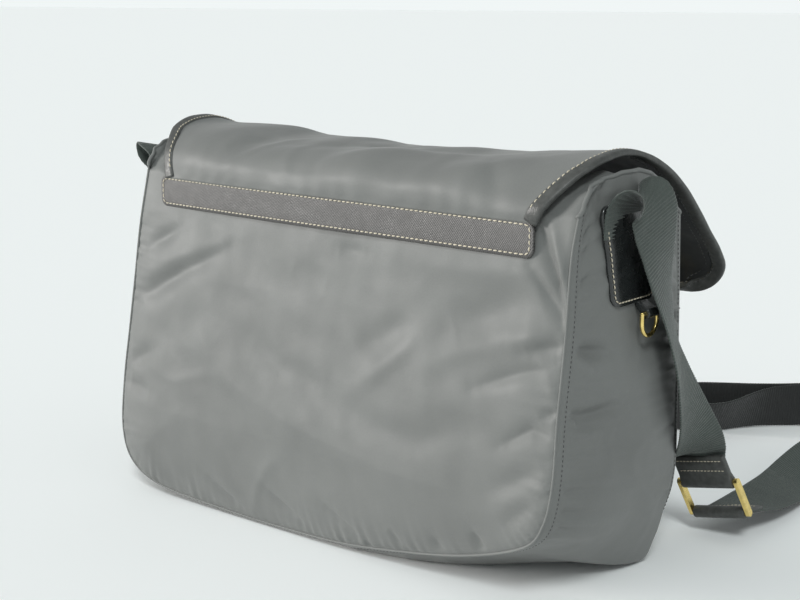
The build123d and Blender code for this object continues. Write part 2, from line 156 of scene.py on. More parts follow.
# Flap: lines from the root over the top to the front edge as (y, z)
FLAP_LEFT = [
    (62, 236), (63.5, 242), (61.5, 248), (54, 257), (46, 264.5), (36, 270), (24, 273.5), (8, 275.5),
    (-9, 274), (-27, 269), (-45, 261.5), (-64, 250), (-82, 235), (-100, 218), (-116, 203), (-127, 188),
    (-131, 171),
]
FLAP_MIDDLE = [
    (62, 236), (63.5, 243), (62.5, 251), (56, 259), (45, 264.5), (30, 267), (14, 267.5), (-4, 267.5),
    (-20, 266), (-36, 262), (-52, 255.5), (-70, 246), (-88, 233), (-106, 216), (-120, 200), (-129, 186),
    (-132, 171),
]
FLAP_RIGHT = [
    (59, 236), (58, 242), (56.5, 249), (53, 257), (46, 265), (36, 271.5), (22, 275.5), (6, 276.5),
    (-9, 275), (-27, 269.5), (-45, 261.5), (-64, 250), (-82, 236), (-100, 219), (-116, 203), (-127, 188),
    (-131, 171),
]
# Half width by distance from the root, and how much narrower the right half is
FLAP_HALF = [(0, 163), (8, 167), (18, 172), (30, 178), (42, 183), (60, 186), (90, 187), (400, 187)]
FLAP_NARROW_RIGHT = [(0, 7), (30, 14), (60, 12), (110, 3), (160, 0), (400, 0)]
FLAP_CORNER = 26
FLAP_STEPS = (170, 150)
FLAP_CLOTH = 1.2
FLAP_LINING = 0.8
EDGE_WIDTH = 9.5
EDGE_THICK = 4.4
# Folds in (x, distance from the root)
FLAP_FOLDS = [
    ([(20, 20), (-40, 46), (-110, 58)], 9, 1.5),
    ([(60, 42), (-10, 66), (-80, 76)], 10, -1.4),
    ([(100, 24), (70, 60)], 12, -1.2),
    ([(-60, 12), (-120, 34), (-150, 58)], 10, 1.3),
    ([(-135, 14), (-120, 40)], 8, -1.6),
    ([(-90, 120), (20, 150), (110, 130)], 16, -1.6),
    ([(-140, 200), (-60, 220)], 14, 1.4),
    ([(60, 210), (140, 190)], 14, 1.4),
]

# Pocket and closing straps
POCKET_CORNER = 45
POCKET_BACK_Y = -64.0
CLOSE_X = 135.0
CLOSE_LEAN = 4.5
CLOSE_LENGTH = 68
CLOSE_CORNER = 8
BUCKLE_BAR = (-121.0, 180.0)

# Straps
WEB_W = 38
WEB_T = 1.8
WEB_POINTS = 20
DOUBLED_FROM = (-138, -442)
PARTED_AT = 120
PARTED_OVER = 58
RIB = 2.3
STRAP_LENGTH = 0.857
# Shoulder strap's control points from the left ring round to the right one, in metres
STRAP_ROUTE = [
    (-0.1935, -0.136, 0.0185), (-0.197, -0.172, 0.0150), (-0.196, -0.214, 0.0135),
    (-0.188, -0.258, 0.0160), (-0.190, -0.312, 0.0200), (-0.209, -0.360, 0.0225),
    (-0.216, -0.412, 0.0225), (-0.196, -0.455, 0.0225), (-0.152, -0.461, 0.0225),
    (-0.118, -0.413, 0.0225), (-0.072, -0.350, 0.0225), (0.0, -0.300, 0.0225), (0.084, -0.262, 0.0225),
    (0.160, -0.216, 0.0215), (0.192, -0.172, 0.0200), (0.1935, -0.136, 0.0185),
]
# Lean of the strap's width from flat towards upright, in degrees, by distance along it
STRAP_LEAN = [(0, -12), (40, 6), (110, 22), (180, 55), (260, 90), (740, 90), (810, 130), (857, 168)]
# Webbing over the left tab: its middle line (x, y, z) and its turn from the Y axis in degrees
ANCHOR_LINE = [
    (-195.5, 21, 228, 0), (-195.5, 21, 237, 0), (-197, 21, 244, 2), (-200.5, 20, 250, 6),
    (-205, 17.5, 252.5, 11), (-208.8, 13.5, 249, 13), (-209.8, 8.5, 240, 10), (-208.4, 1, 226, 3),
    (-206.6, -10, 200, -12), (-206, -19.5, 179, -22), (-205.3, -30.7, 155, -26), (-204.5, -43, 133, -20),
    (-201, -64, 104, -6), (-196, -82, 82, 12), (-189.5, -97, 70, 30),
]
RING_CENTRE = np.array([-191.0, -122.0, 31.0])
BAR_LOOP_R = 4.3
RING_TILT = 12
RING_LEAN = 24
RING_BARS = 26
WRAP_TOP = 22
TAIL_REACH = 27
FAR_WEB_FLARE = 8


# ---------------------------------------------------------------- lines, fields and meshes

def unit(vectors):
    return vectors / np.maximum(np.linalg.norm(vectors, axis=-1, keepdims=True), 1e-9)


def lengths(line):
    steps = np.linalg.norm(np.diff(line, axis=0), axis=1)
    return np.concatenate([[0.0], np.cumsum(steps)])


def even(line, count, at=None):
    """The line resampled at even distances, or at the given shares of its length."""
    along = lengths(line[:, :3])
    wanted = np.linspace(0, 1, count) if at is None else at
    return np.column_stack([np.interp(wanted * along[-1], along, column) for column in line.T])


def smooth(points, count, at=None):
    """A Catmull-Rom line through given points."""
    p = np.array(points, float)
    p = np.vstack([2 * p[0] - p[1], p, 2 * p[-1] - p[-2]])
    t = np.linspace(0, 1, 24, endpoint=False)[:, None]
    spans = []
    for a, b, c, d in zip(p, p[1:], p[2:], p[3:]):
        squared, cubed = 2 * a - 5 * b + 4 * c - d, 3 * b - a - 3 * c + d
        spans.append(0.5 * (2 * b + (c - a) * t + squared * t**2 + cubed * t**3))
    return even(np.vstack(spans + [p[-2:-1]]), count, at)


def point_at(line, along, distance):
    return np.array([np.interp(distance, along, column) for column in line.T])


def table(pairs, x):
    """The value at x of a line through (x, value) pairs."""
    pairs = np.array(pairs, float)
    order = np.argsort(pairs[:, 0])
    return np.interp(x, pairs[order, 0], pairs[order, 1])


def ease(x):
    """0 below 0, 1 above 1, and a soft step between."""
    x = np.clip(x, 0, 1)
    return x * x * (3 - 2 * x)


def waves(points, seed, longest, shortest, count=26):
    """A soft random field over 2-D points, about -1 to 1, from plane waves between two wavelengths."""
    rng = np.random.default_rng(seed)
    total = np.zeros(points.shape[:-1])
    for _ in range(count):
        angle, phase = rng.uniform(0, 2 * pi, 2)
        wavelength = rng.uniform(shortest, longest)
        along = points[..., 0] * cos(angle) + points[..., 1] * sin(angle)
        total += np.sin(2 * pi * along / wavelength + phase)
    return total / np.sqrt(count)


def creases(points, seed, longest, shortest):
    """Thin wandering ridges, from 0 to 1, where a warped random field crosses zero."""
    shift = np.stack([waves(points, seed + 1, 170, 80), waves(points, seed + 2, 170, 80)], axis=-1) * 10
    return np.exp(-((waves(points + shift, seed, longest, shortest, 9) / 0.34) ** 2))


def fold(points, line, width, height, sharp=2.0):
    """A ridge (or a valley, for a negative height) along a polyline of 2-D points, fading at both ends."""
    line = np.array(line, float)
    along = lengths(line)
    best = np.full(points.shape[:-1], 1e9)
    place = np.zeros(points.shape[:-1])
    for i, (a, b) in enumerate(zip(line, line[1:])):
        span = b - a
        t = np.clip(((points - a) @ span) / (span @ span), 0, 1)
        gap = np.linalg.norm(points - (a + t[..., None] * span), axis=-1)
        nearer = gap < best
        best = np.where(nearer, gap, best)
        place = np.where(nearer, (along[i] + t * np.linalg.norm(span)) / along[-1], place)
    fade = np.sin(pi * np.clip(place, 0.06, 0.94)) ** 0.7
    return height * fade * np.exp(-((best / width) ** sharp))


def seam_distance(points, seam):
    """Each 2-D point's distance to the seam line, and where along the seam that is."""
    along = lengths(seam)
    best = np.full(points.shape[:-1], 1e9)
    place = np.zeros(points.shape[:-1])
    for point, s in zip(seam, along):
        gap = np.linalg.norm(points - point, axis=-1)
        nearer = gap < best
        best = np.where(nearer, gap, best)
        place = np.where(nearer, s, place)
    return best, place


def puckers(distance, place, seed, height=1.0, reach=11.0):
    """Small gathers square to a seam, strongest beside it."""
    rng = np.random.default_rng(seed)
    total = np.zeros(place.shape)
    for wavelength in rng.uniform(6.5, 15, 9):
        total += np.sin(2 * pi * place / wavelength + rng.uniform(0, 2 * pi)) / 3
    swell = 0.6 + 0.4 * np.sin(place / 31 + seed)
    return height * total * swell * np.exp(-distance / reach) * ease(distance / 3)


def normals_of(grid):
    rows = np.gradient(grid, axis=0)
    columns = np.gradient(grid, axis=1)
    return unit(np.cross(rows, columns))


def grid_faces(rows, columns, start=0, flip=False):
    faces = []
    for i in range(rows - 1):
        for j in range(columns - 1):
            a = start + i * columns + j
            quad = (a, a + columns, a + columns + 1, a + 1)
            faces.append(quad[::-1] if flip else quad)
    return faces


def border(rows, columns):
    """The border of a grid as indices, once round."""
    loop = [(0, j) for j in range(columns)]
    loop += [(i, columns - 1) for i in range(1, rows)]
    loop += [(rows - 1, j) for j in range(columns - 2, -1, -1)]
    loop += [(i, 0) for i in range(rows - 2, 0, -1)]
    return loop


def slab(grid, thickness, rim=0.3):
    """A closed sheet of some thickness behind a grid of points, with a rounded rim."""
    rows, columns = grid.shape[:2]
    normal = normals_of(grid)
    back = grid - normal * thickness
    loop = border(rows, columns)
    middle = (grid + back) / 2
    inner = []
    for i, j in loop:
        inner.append(middle[min(max(i, 1), rows - 2), min(max(j, 1), columns - 2)])
    edge = np.array([middle[i, j] for i, j in loop])
    edge = edge + unit(edge - np.array(inner)) * rim
    count = rows * columns
    verts = np.vstack([grid.reshape(-1, 3), back.reshape(-1, 3), edge])
    faces = grid_faces(rows, columns) + grid_faces(rows, columns, count, flip=True)
    for k in range(len(loop)):
        n = (k + 1) % len(loop)
        a = loop[k][0] * columns + loop[k][1]
        b = loop[n][0] * columns + loop[n][1]
        faces.append((a, b, 2 * count + n, 2 * count + k))
        faces.append((2 * count + k, 2 * count + n, count + b, count + a))
    return verts, faces


def band_faces(count, points, closed=False):
    """Faces between neighbouring sections, and from the last to the first when closed."""
    faces = []
    for i in range(count if closed else count - 1):
        for j in range(points):
            k, n = (j + 1) % points, (i + 1) % count
            faces.append((i * points + j, i * points + k, n * points + k, n * points + j))
    return faces


def sweep(sections):
    """A closed tube through (count, points, 3) sections, with flat ends."""
    count, points = sections.shape[:2]
    faces = band_faces(count, points)
    faces.append(tuple(range(points))[::-1])
    faces.append(tuple((count - 1) * points + j for j in range(points)))
    return sections.reshape(-1, 3), faces


def oval(width, height, count=18, power=0.5):
    """A closed rounded-rectangle section, as (across, up) pairs."""
    angle = np.linspace(0, 2 * pi, count, endpoint=False)
    c, s = np.cos(angle), np.sin(angle)
    return np.column_stack([
        np.sign(c) * np.abs(c) ** power * width / 2,
        np.sign(s) * np.abs(s) ** power * height / 2,
    ])


def round_tube(line, side, out, radius, sink=0.0):
    """A round tube along a line, whose section lies in the given directions."""
    angle = np.linspace(0, 2 * pi, 8, endpoint=False)[:, None]
    ring = radius * (np.cos(angle) * side[:, None] + np.sin(angle) * out)
    return sweep((line - out * sink)[:, None] + ring)


def joined(parts):
    """Several shapes as one."""
    verts, faces, start = [], [], 0
    for v, f in parts:
        verts.append(np.asarray(v, float).reshape(-1, 3))
        faces += [tuple(i + start for i in face) for face in f]
        start += len(verts[-1])
    return np.vstack(verts), faces


def stitch_row(line, normal, pitch=3.7, length=2.7, radius=0.42, lift=0.15, lean=0.0):
    """Thread on a seam: one short closed bead for each stitch."""
    along = lengths(line)
    places = np.arange(pitch / 2, along[-1], pitch)
    ring = np.linspace(0, 2 * pi, 6, endpoint=False)
    shape = [(-0.5, 0.25), (-0.38, 0.85), (0.0, 1.0), (0.38, 0.85), (0.5, 0.25)]
    parts = []
    for s in places:
        centre = point_at(line, along, s)
        run = unit(point_at(line, along, min(s + 1, along[-1])) - point_at(line, along, max(s - 1, 0)))
        up = unit(point_at(normal, along, s))
        side = unit(np.cross(up, run))
        run = unit(run + side * lean)
        sections = []
        for share, size in shape:
            sink = (abs(share) * 2) ** 2 * radius * 0.8
            middle = centre + run * share * length + up * (lift + radius * 0.5 - sink)
            sections.append([middle + size * radius * (side * cos(a) + up * sin(a) * 0.8) for a in ring])
        parts.append(sweep(np.array(sections)))
    return joined(parts)


def node_box(name):
    """A CAD node's low and high corners, in millimetres."""
    low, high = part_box(name)
    return np.array(low) / MM, np.array(high) / MM


def piece(name, shape, material, body, replaces=()):
    """A mesh object that rides on a body; with no body, it stands on its own in the scene."""
    verts, faces = shape
    mesh = bpy.data.meshes.new(name)
    mesh.from_pydata((np.asarray(verts) * MM).tolist(), [], faces)
    mesh.validate()
    mesh.shade_smooth()
    mesh.materials.append(material)
    made = bpy.data.objects.new(name, mesh)
    bpy.context.scene.collection.objects.link(made)
    if body:
        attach(made, body)
    if replaces:
        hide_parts(*replaces)
    return made


def mirrored(shape):
    verts, faces = shape
    return verts * np.array([-1, 1, 1]), [face[::-1] for face in faces]


def leather_pair(name, leather, sewn, material, node):
    """A leather piece and its thread on the left side, and their mirror images on the right."""
    for side in ("left", "right"):
        if side == "right":
            leather, sewn = mirrored(leather), mirrored(sewn) if sewn else None
        piece(f"{name}_leather_{side}", leather, material, "bag", [f"{node}_{side}"])
        if sewn:
            piece(f"{name}_thread_{side}", sewn, THREAD, "bag")


# ---------------------------------------------------------------- materials

class Surface:
    """A Principled material with helpers that add texture nodes in object space."""

    def __init__(self, name, colour, roughness, **sockets):
        self.material = bpy.data.materials.new(name)
        self.material.use_nodes = True
        self.nodes = self.material.node_tree.nodes
        self.links = self.material.node_tree.links
        self.shader = self.nodes["Principled BSDF"]
        self.shader.inputs["Base Color"].default_value = (*colour, 1)
        self.shader.inputs["Roughness"].default_value = roughness
        for socket, value in sockets.items():
            self.shader.inputs[socket.replace("_", " ")].default_value = value
        self.place = self.nodes.new("ShaderNodeTexCoord").outputs["Object"]
        self.colour = colour
        self.height = None

    def node(self, kind, **values):
        made = self.nodes.new("ShaderNode" + kind)
        for socket, value in values.items():
            made.inputs[socket.replace("_", " ")].default_value = value
        return made

    def turned(self, degrees):
        mapping = self.node("Mapping", Rotation=[radians(d) for d in degrees])
        self.links.new(self.place, mapping.inputs["Vector"])
        return mapping.outputs["Vector"]

    def noise(self, size_mm, detail=3.0):
        made = self.node("TexNoise", Scale=1 / (size_mm * MM), Detail=detail)
        self.links.new(self.place, made.inputs["Vector"])
        return made.outputs["Fac"]

    def bands(self, pitch_mm, direction="X", turned=None, distortion=0.0):
        made = self.node(
            "TexWave", Scale=2 * pi / (20 * pitch_mm * MM), Distortion=distortion, Detail_Scale=2.0)
        made.bands_direction = direction
        self.links.new(self.turned(turned) if turned else self.place, made.inputs["Vector"])
        return made.outputs["Fac"]

    def cells(self, size_mm):
        made = self.node("TexVoronoi", Scale=1 / (size_mm * MM))
        self.links.new(self.place, made.inputs["Vector"])
        return made.outputs["Distance"]

    def maths(self, operation, a, b):
        node = self.nodes.new("ShaderNodeMath")
        node.operation = operation
        for socket, value in zip(node.inputs, (a, b)):
            if isinstance(value, (int, float)):
                socket.default_value = value
            else:
                self.links.new(value, socket)
        return node.outputs[0]

    def ranged(self, value, low, high, start=0.0, end=1.0):
        made = self.node("MapRange", From_Min=start, From_Max=end, To_Min=low, To_Max=high)
        self.links.new(value, made.inputs["Value"])
        return made.outputs["Result"]

    def tint(self, value, dark, light, start=0.3, end=0.7):
        """Colour between dark and light shares of the base colour, by a texture value."""
        node = self.nodes.new("ShaderNodeMix")
        node.data_type = "RGBA"
        node.inputs["A"].default_value = (*[c * dark for c in self.colour], 1)
        node.inputs["B"].default_value = (*[min(c * light, 1) for c in self.colour], 1)
        self.links.new(self.ranged(value, 0, 1, start, end), node.inputs["Factor"])
        self.links.new(node.outputs["Result"], self.shader.inputs["Base Color"])
        return self

    def rough(self, value, low, high):
        self.links.new(self.ranged(value, low, high, 0.3, 0.7), self.shader.inputs["Roughness"])
        return self

    def bump(self, value, height_mm, strength=1.0):
        made = self.node("Bump", Strength=strength, Distance=height_mm * MM)
        self.links.new(value, made.inputs["Height"])
        if self.height:
            self.links.new(self.height, made.inputs["Normal"])
        self.height = made.outputs["Normal"]
        self.links.new(self.height, self.shader.inputs["Normal"])
        return self


def make_nylon(name, colour):
    s = Surface(name, colour, 0.56, Sheen_Weight=0.12, Sheen_Roughness=0.5, Specular_IOR_Level=0.34)
    weave = s.maths("ADD", s.bands(0.75, "X", (0, 22, 0)), s.bands(0.75, "Z", (0, 22, 0)))
    mottle = s.maths("ADD", s.noise(55), s.maths("MULTIPLY", s.noise(1.1, 2), 0.35))
    s.tint(mottle, 0.93, 1.07, 0.45, 0.9)
    s.rough(s.noise(30), 0.5, 0.62)
    s.bump(s.noise(26, 2), 1.6, 0.35)
    s.bump(s.noise(1.4, 2), 0.12, 0.5)
    s.bump(weave, 0.03, 0.5)
    return s.material


def make_grained_leather(name, colour):
    s = Surface(name, colour, 0.42, Specular_IOR_Level=0.5)
    cross = s.maths("ADD", s.bands(1.1, "X", (0, 34, 0), 1.2), s.bands(1.1, "X", (0, -34, 0), 1.2))
    mottle = s.maths("ADD", s.maths("MULTIPLY", cross, 0.5), s.maths("MULTIPLY", s.noise(9), 0.5))
    s.tint(mottle, 0.66, 1.32, 0.35, 1.15)
    s.rough(s.noise(6), 0.36, 0.5)
    s.bump(s.noise(3.0), 0.25, 0.5)
    s.bump(cross, 0.12, 0.8)
    return s.material


def make_edge_leather(name, colour):
    s = Surface(name, colour, 0.45, Specular_IOR_Level=0.45)
    s.tint(s.noise(4), 0.75, 1.25)
    s.rough(s.noise(3), 0.38, 0.55)
    s.bump(s.cells(1.3), 0.14, 0.6)
    s.bump(s.noise(2.2), 0.2, 0.6)
    return s.material


def make_smooth_leather(name, colour):
    s = Surface(name, colour, 0.24, Coat_Weight=0.35, Coat_Roughness=0.16)
    s.tint(s.noise(12), 0.8, 1.3)
    s.rough(s.noise(7, 5), 0.17, 0.34)
    s.bump(s.noise(5), 0.25, 0.35)
    s.bump(s.cells(0.9), 0.03, 0.5)
    return s.material


def make_webbing(name, colour):
    s = Surface(name, colour, 0.62, Sheen_Weight=0.25, Sheen_Roughness=0.4)
    threads = s.maths("ADD", s.noise(0.7, 2), s.noise(0.35, 1))
    s.tint(threads, 0.7, 1.3, 0.8, 1.2)
    s.rough(s.noise(5), 0.55, 0.7)
    s.bump(threads, 0.15, 0.8)
    return s.material


def make_lining_cloth(name, colour):
    s = Surface(name, colour, 0.6, Sheen_Weight=0.15, Sheen_Roughness=0.5)
    s.tint(s.noise(20), 0.85, 1.2)
    s.rough(s.noise(9), 0.5, 0.7)
    s.bump(s.noise(14), 0.8, 0.3)
    s.bump(s.maths("ADD", s.bands(0.8, "X"), s.bands(0.8, "Z")), 0.03, 0.5)
    return s.material


def make_brass(name):
    s = Surface(name, (0.86, 0.66, 0.24), 0.2, Metallic=1.0)
    s.tint(s.noise(3), 0.85, 1.1)
    s.rough(s.noise(1.5, 5), 0.14, 0.3)
    s.bump(s.noise(0.8), 0.02, 0.4)
    return s.material


def make_thread(name, colour):
    s = Surface(name, colour, 0.6, Sheen_Weight=0.3)
    s.tint(s.noise(0.4, 2), 0.7, 1.2)
    s.rough(s.noise(0.5), 0.5, 0.7)
    s.bump(s.bands(0.35, "X", (0, 45, 30)), 0.05, 0.6)
    return s.material


def make_board(name):
    s = Surface(name, (0.05, 0.05, 0.05), 0.6)
    s.tint(s.noise(4), 0.8, 1.2)
    s.rough(s.noise(3), 0.5, 0.7)
    s.bump(s.noise(0.9), 0.05, 0.5)
    return s.material


NYLON = make_nylon("nylon", (0.138, 0.143, 0.138))
GRAINED = make_grained_leather("grained_leather", (0.075, 0.072, 0.07))
EDGE = make_edge_leather("edge_leather", (0.056, 0.058, 0.055))
SMOOTH = make_smooth_leather("smooth_leather", (0.014, 0.016, 0.016))
WEBBING = make_webbing("webbing", (0.046, 0.058, 0.051))
# A near-black copy of the webbing: painted shade for the strap's lower face, which is the same webbing as its
# upper face.
SHADED_WEBBING = make_webbing("shaded_webbing", (0.012, 0.013, 0.013))
LINING = make_lining_cloth("lining_cloth", (0.022, 0.024, 0.025))
ZIP_TAPE = make_lining_cloth("zip_tape", (0.06, 0.062, 0.06))
BRASS = make_brass("brass")
THREAD = make_thread("thread", (0.56, 0.5, 0.38))
DARK_THREAD = make_thread("dark_thread", (0.035, 0.036, 0.035))
BOARD = make_board("board")


# ---------------------------------------------------------------- camera

def make_camera():
    camera = bpy.data.objects.new("camera", bpy.data.cameras.new("camera"))
    bpy.context.scene.collection.objects.link(camera)
    camera.data.lens = CAMERA_LENS
    turn = Matrix.Rotation(radians(CAMERA_TURN), 4, "Z")
    down = Matrix.Rotation(radians(90 - CAMERA_DOWN), 4, "X")
    roll = Matrix.Rotation(radians(CAMERA_ROLL), 4, "Z")
    camera.matrix_world = Matrix.Translation(CAMERA_AT) @ turn @ down @ roll
    bpy.context.scene.camera = camera


# ---------------------------------------------------------------- straps

def ribbon(line, across, width=WEB_W, thick=WEB_T, rib=RIB):
    """Flat webbing along a line: woven ribs run square across both faces."""
    along = lengths(line)
    run = unit(np.gradient(line, axis=0))
    across = unit(across - run * np.sum(across * run, axis=1)[:, None])
    normal = np.cross(run, across)
    crest = 0.5 - 0.5 * np.cos(2 * pi * along / rib)
    section = oval(width, thick, WEB_POINTS, 0.32)
    wide = section[:, 0] * (1 - 0.014 * crest[:, None])
    high = section[:, 1] * (1 - 0.42 * crest[:, None])
    points = line[:, None] + wide[..., None] * across[:, None] + high[..., None] * normal[:, None]
    return sweep(points)


def route_line(name, route):
    """The points that the route's NURBS spline follows, in millimetres."""
    curve = bpy.data.curves.new(name, "CURVE")
    curve.dimensions = "3D"
    curve.resolution_u = 24
    spline = curve.splines.new("NURBS")
    spline.points.add(len(route) - 1)
    for point, place in zip(spline.points, route):
        point.co = (*place, 1)
    spline.order_u = 3
    spline.use_endpoint_u = True
    carrier = bpy.data.objects.new(name, curve)
    mesh = bpy.data.meshes.new_from_object(carrier)
    points = np.array([v.co for v in mesh.vertices]) / MM
    bpy.data.meshes.remove(mesh)
    bpy.data.objects.remove(carrier)
    bpy.data.curves.remove(curve)
    return points


def leaning(line, lean):
    """The across direction of a strap along its line, leaning by degrees from flat towards upright."""
    run = unit(np.gradient(line, axis=0) * (1, 1, 0))
    left = np.column_stack([-run[:, 1], run[:, 0], np.zeros(len(line))])
    angle = np.radians(lean)[:, None]
    return left * np.cos(angle) + Z_AXIS * np.sin(angle)


def shade_underside(made, points, shade_material):
    """Gives the lower face of a ribbon of that many section points its own material: a near-black copy of the
    webbing, painted shade, as both faces are the same webbing.
    """
    made.data.materials.append(shade_material)
    for polygon in made.data.polygons:
        polygon.material_index = int(polygon.index % points >= points // 2)


def make_strap():
    """The strap round the loop, and the doubled stretch that parts from it for a while."""
    route = route_line("strap_route", STRAP_ROUTE)
    line = even(route, 1500)
    along = np.linspace(0, STRAP_LENGTH / MM, len(line))
    run = unit(np.gradient(line, axis=0) * (1, 1, 0))
    left = np.column_stack([-run[:, 1], run[:, 0], np.zeros(len(line))])
    lean = table(STRAP_LEAN, along)
    across = leaning(line, lean)
    crossing = along[np.argmin(np.linalg.norm(line[:, :2] - DOUBLED_FROM, axis=1))]
    apart = np.exp(-(((along - crossing - PARTED_AT) / PARTED_OVER) ** 2))
    free = ease((along - 60) / 80) * ease((along[-1] - 60 - along) / 80)
    centre = line - left * (19 * apart)[:, None]
    centre[:, 2] = line[:, 2] * (1 - free) + (WEB_W / 2 * np.sin(np.radians(lean)) + 0.9) * free
    strap = piece("shoulder_strap_web", ribbon(centre, across), WEBBING, "bag", ["shoulder_strap"])
    # The lower face of each strap stretch gets the near-black webbing copy: painted shade.
    shade_underside(strap, WEB_POINTS, SHADED_WEBBING)

    part = along > crossing
    lean = (90 * apart + lean * (1 - apart) - 36 * apart)[part]
    second = leaning(line[part], lean)
    beside = centre[part] + np.cross(across, run)[part] * 2.5
    foot = line[part] * (1, 1, 0) + left[part] * 1.5 + np.array([0, 0, 0.9])
    apart = apart[part][:, None]
    beside = beside * (1 - apart) + (foot + second * WEB_W / 2) * apart
    doubled = piece("strap_doubled_web", ribbon(beside, second), WEBBING, "bag", ["strap_overlap"])
    shade_underside(doubled, WEB_POINTS, SHADED_WEBBING)
    return strap, doubled, centre


def ring_axes():
    """Across, up and outward directions of the left ring."""
    tilt, lean = radians(RING_TILT), radians(RING_LEAN)
    across = np.array([-cos(tilt), 0, sin(tilt)])
    upright = np.array([sin(tilt), 0, cos(tilt)])
    up = upright * cos(lean) + np.array([0, 1, 0]) * sin(lean)
    return across, up, np.cross(across, up)


def loop_section(radius, reach, thick, count=14):
    """A strap folded round a bar at the origin, flat along +u, as (u, v) pairs."""
    angle = np.linspace(0.62 * pi / 2, 2 * pi - 0.62 * pi / 2, count)
    around = [(radius * cos(a), radius * sin(a)) for a in angle]
    neck = radius + 3.2
    low = [(u, -thick / 2) for u in (neck, (neck + reach) / 2, reach - 0.5)] + [(reach, -thick / 5)]
    return np.array(around + low + [(u, -v) for u, v in reversed(low)])


def loop_piece(section, origin, along, up, normal, width):
    """A folded strap: the section in (up, normal), carried along its width with softened sides."""
    half = [(0.2, 1.0), (0.47, 1.0), (0.493, 0.93), (0.5, 0.8)]
    stations = [(-share, size) for share, size in reversed(half)] + half
    middle = section.mean(axis=0)
    sections = []
    for share, size in stations:
        flat = middle + (section - middle) * (1 - (1 - size) * 0.2, size)
        sections.append(origin + along * share * width + flat[:, :1] * up + flat[:, 1:] * normal)
    return sweep(np.array(sections))


def make_ring_wraps():
    across, up, out = ring_axes()
    bar = RING_CENTRE + up * RING_BARS / 2
    wrap = loop_piece(loop_section(BAR_LOOP_R, WRAP_TOP, 4.2), bar, across, up, out, WEB_W)
    rows = []
    for height in (WRAP_TOP - 3, WRAP_TOP - 11):
        for side in (-1, 1):
            reach = across * (WEB_W / 2 - 2)
            ends = bar + up * height + out * side * 2.05 + np.array([-reach, reach])
            rows.append(stitch_row(even(ends, 30), np.tile(out * side, (30, 1)), 2.6, 1.9, 0.36))
    thread = joined(rows)

    low = RING_CENTRE - up * RING_BARS / 2
    away = unit(np.array([0, -1, -0.16]))
    flat = unit(across - away * (across @ away))
    over = np.cross(away, flat)
    tail = loop_piece(loop_section(BAR_LOOP_R, TAIL_REACH, 4.4), low, flat, away, over, WEB_W)
    bows = []
    for reach in (12, 18):
        for side in (-1, 1):
            k = np.linspace(-1, 1, 40)[:, None]
            bow = low + away * (reach + 5 * (1 - k**2)) + flat * k * (WEB_W / 2 - 2.2) + over * side * 2.1
            bows.append(stitch_row(bow, np.tile(over * side, (40, 1)), 2.8, 2.0, 0.36))
    seam = joined(bows)
    leather_pair("anchor", wrap, thread, EDGE, "anchor_wrap")
    end_left = piece("strap_end_leather_left", tail, EDGE, "bag", ["strap_end_wrap_left"])
    end_right = piece("strap_end_leather_right", mirrored(tail), EDGE, "bag", ["strap_return_right"])
    sewn_left = piece("strap_end_thread_left", seam, THREAD, "bag")
    sewn_right = piece("strap_end_thread_right", mirrored(seam), THREAD, "bag")
    return [end_left, end_right, sewn_left, sewn_right]


def make_anchor_webbing():
    """Webbing folded over the tab and down to the ring. The far one stands out further at its top."""
    across, up, _ = ring_axes()
    end = RING_CENTRE + up * (RING_BARS / 2 + 14)
    points = [(x, y, z, -sin(radians(t)), -cos(radians(t)), 0) for x, y, z, t in ANCHOR_LINE]
    points.append((*(end + up * 10), *across))
    points.append((*end, *across))
    line = smooth(points, 620)
    shape = ribbon(line[:, :3], line[:, 3:])
    piece("anchor_web_left", shape, WEBBING, "bag", ["anchor_webbing_left"])
    line[:, 0] -= FAR_WEB_FLARE * np.exp(-(((line[:, 2] - 228) / 34) ** 2)) * ease((-198 - line[:, 0]) / 6)
    shape = ribbon(line[:, :3], line[:, 3:])
    piece("anchor_web_right", mirrored(shape), WEBBING, "bag", ["anchor_webbing_right"])


# ---------------------------------------------------------------- body

def corner_places(seam):
    """Indices of the seam's two lower corners."""
    return int(np.argmin(seam[:, 0] + seam[:, 2])), int(np.argmin(seam[:, 2] - seam[:, 0]))


def panel_grid(seam, top_sag=0.0):
    """A grid inside a seam that is open at its top: rows go up, columns go from left to right."""
    columns, rows = PANEL_STEPS
    first, second = corner_places(seam)
    low = even(seam[first:second + 1], columns)
    left = even(seam[:first + 1][::-1], rows)
    right = even(seam[second:], rows)
    top = even(np.array([left[-1], right[-1]]), columns)
    top[:, 2] -= top_sag * np.sin(np.linspace(0, pi, columns)) ** 0.6
    u = np.linspace(0, 1, columns)[None, :, None]
    v = np.linspace(0, 1, rows)[:, None, None]
    grid = (1 - v) * low[None] + v * top[None] + (1 - u) * left[:, None] + u * right[:, None]
    grid -= (1 - u) * (1 - v) * low[0] + u * (1 - v) * low[-1] + (1 - u) * v * top[0] + u * v * top[-1]
    for _ in range(60):
        inside = grid[1:-1, 1:-1]
        inside += 0.5 * ((grid[2:, 1:-1] + grid[:-2, 1:-1] + grid[1:-1, 2:] + grid[1:-1, :-2]) / 4 - inside)
    return grid


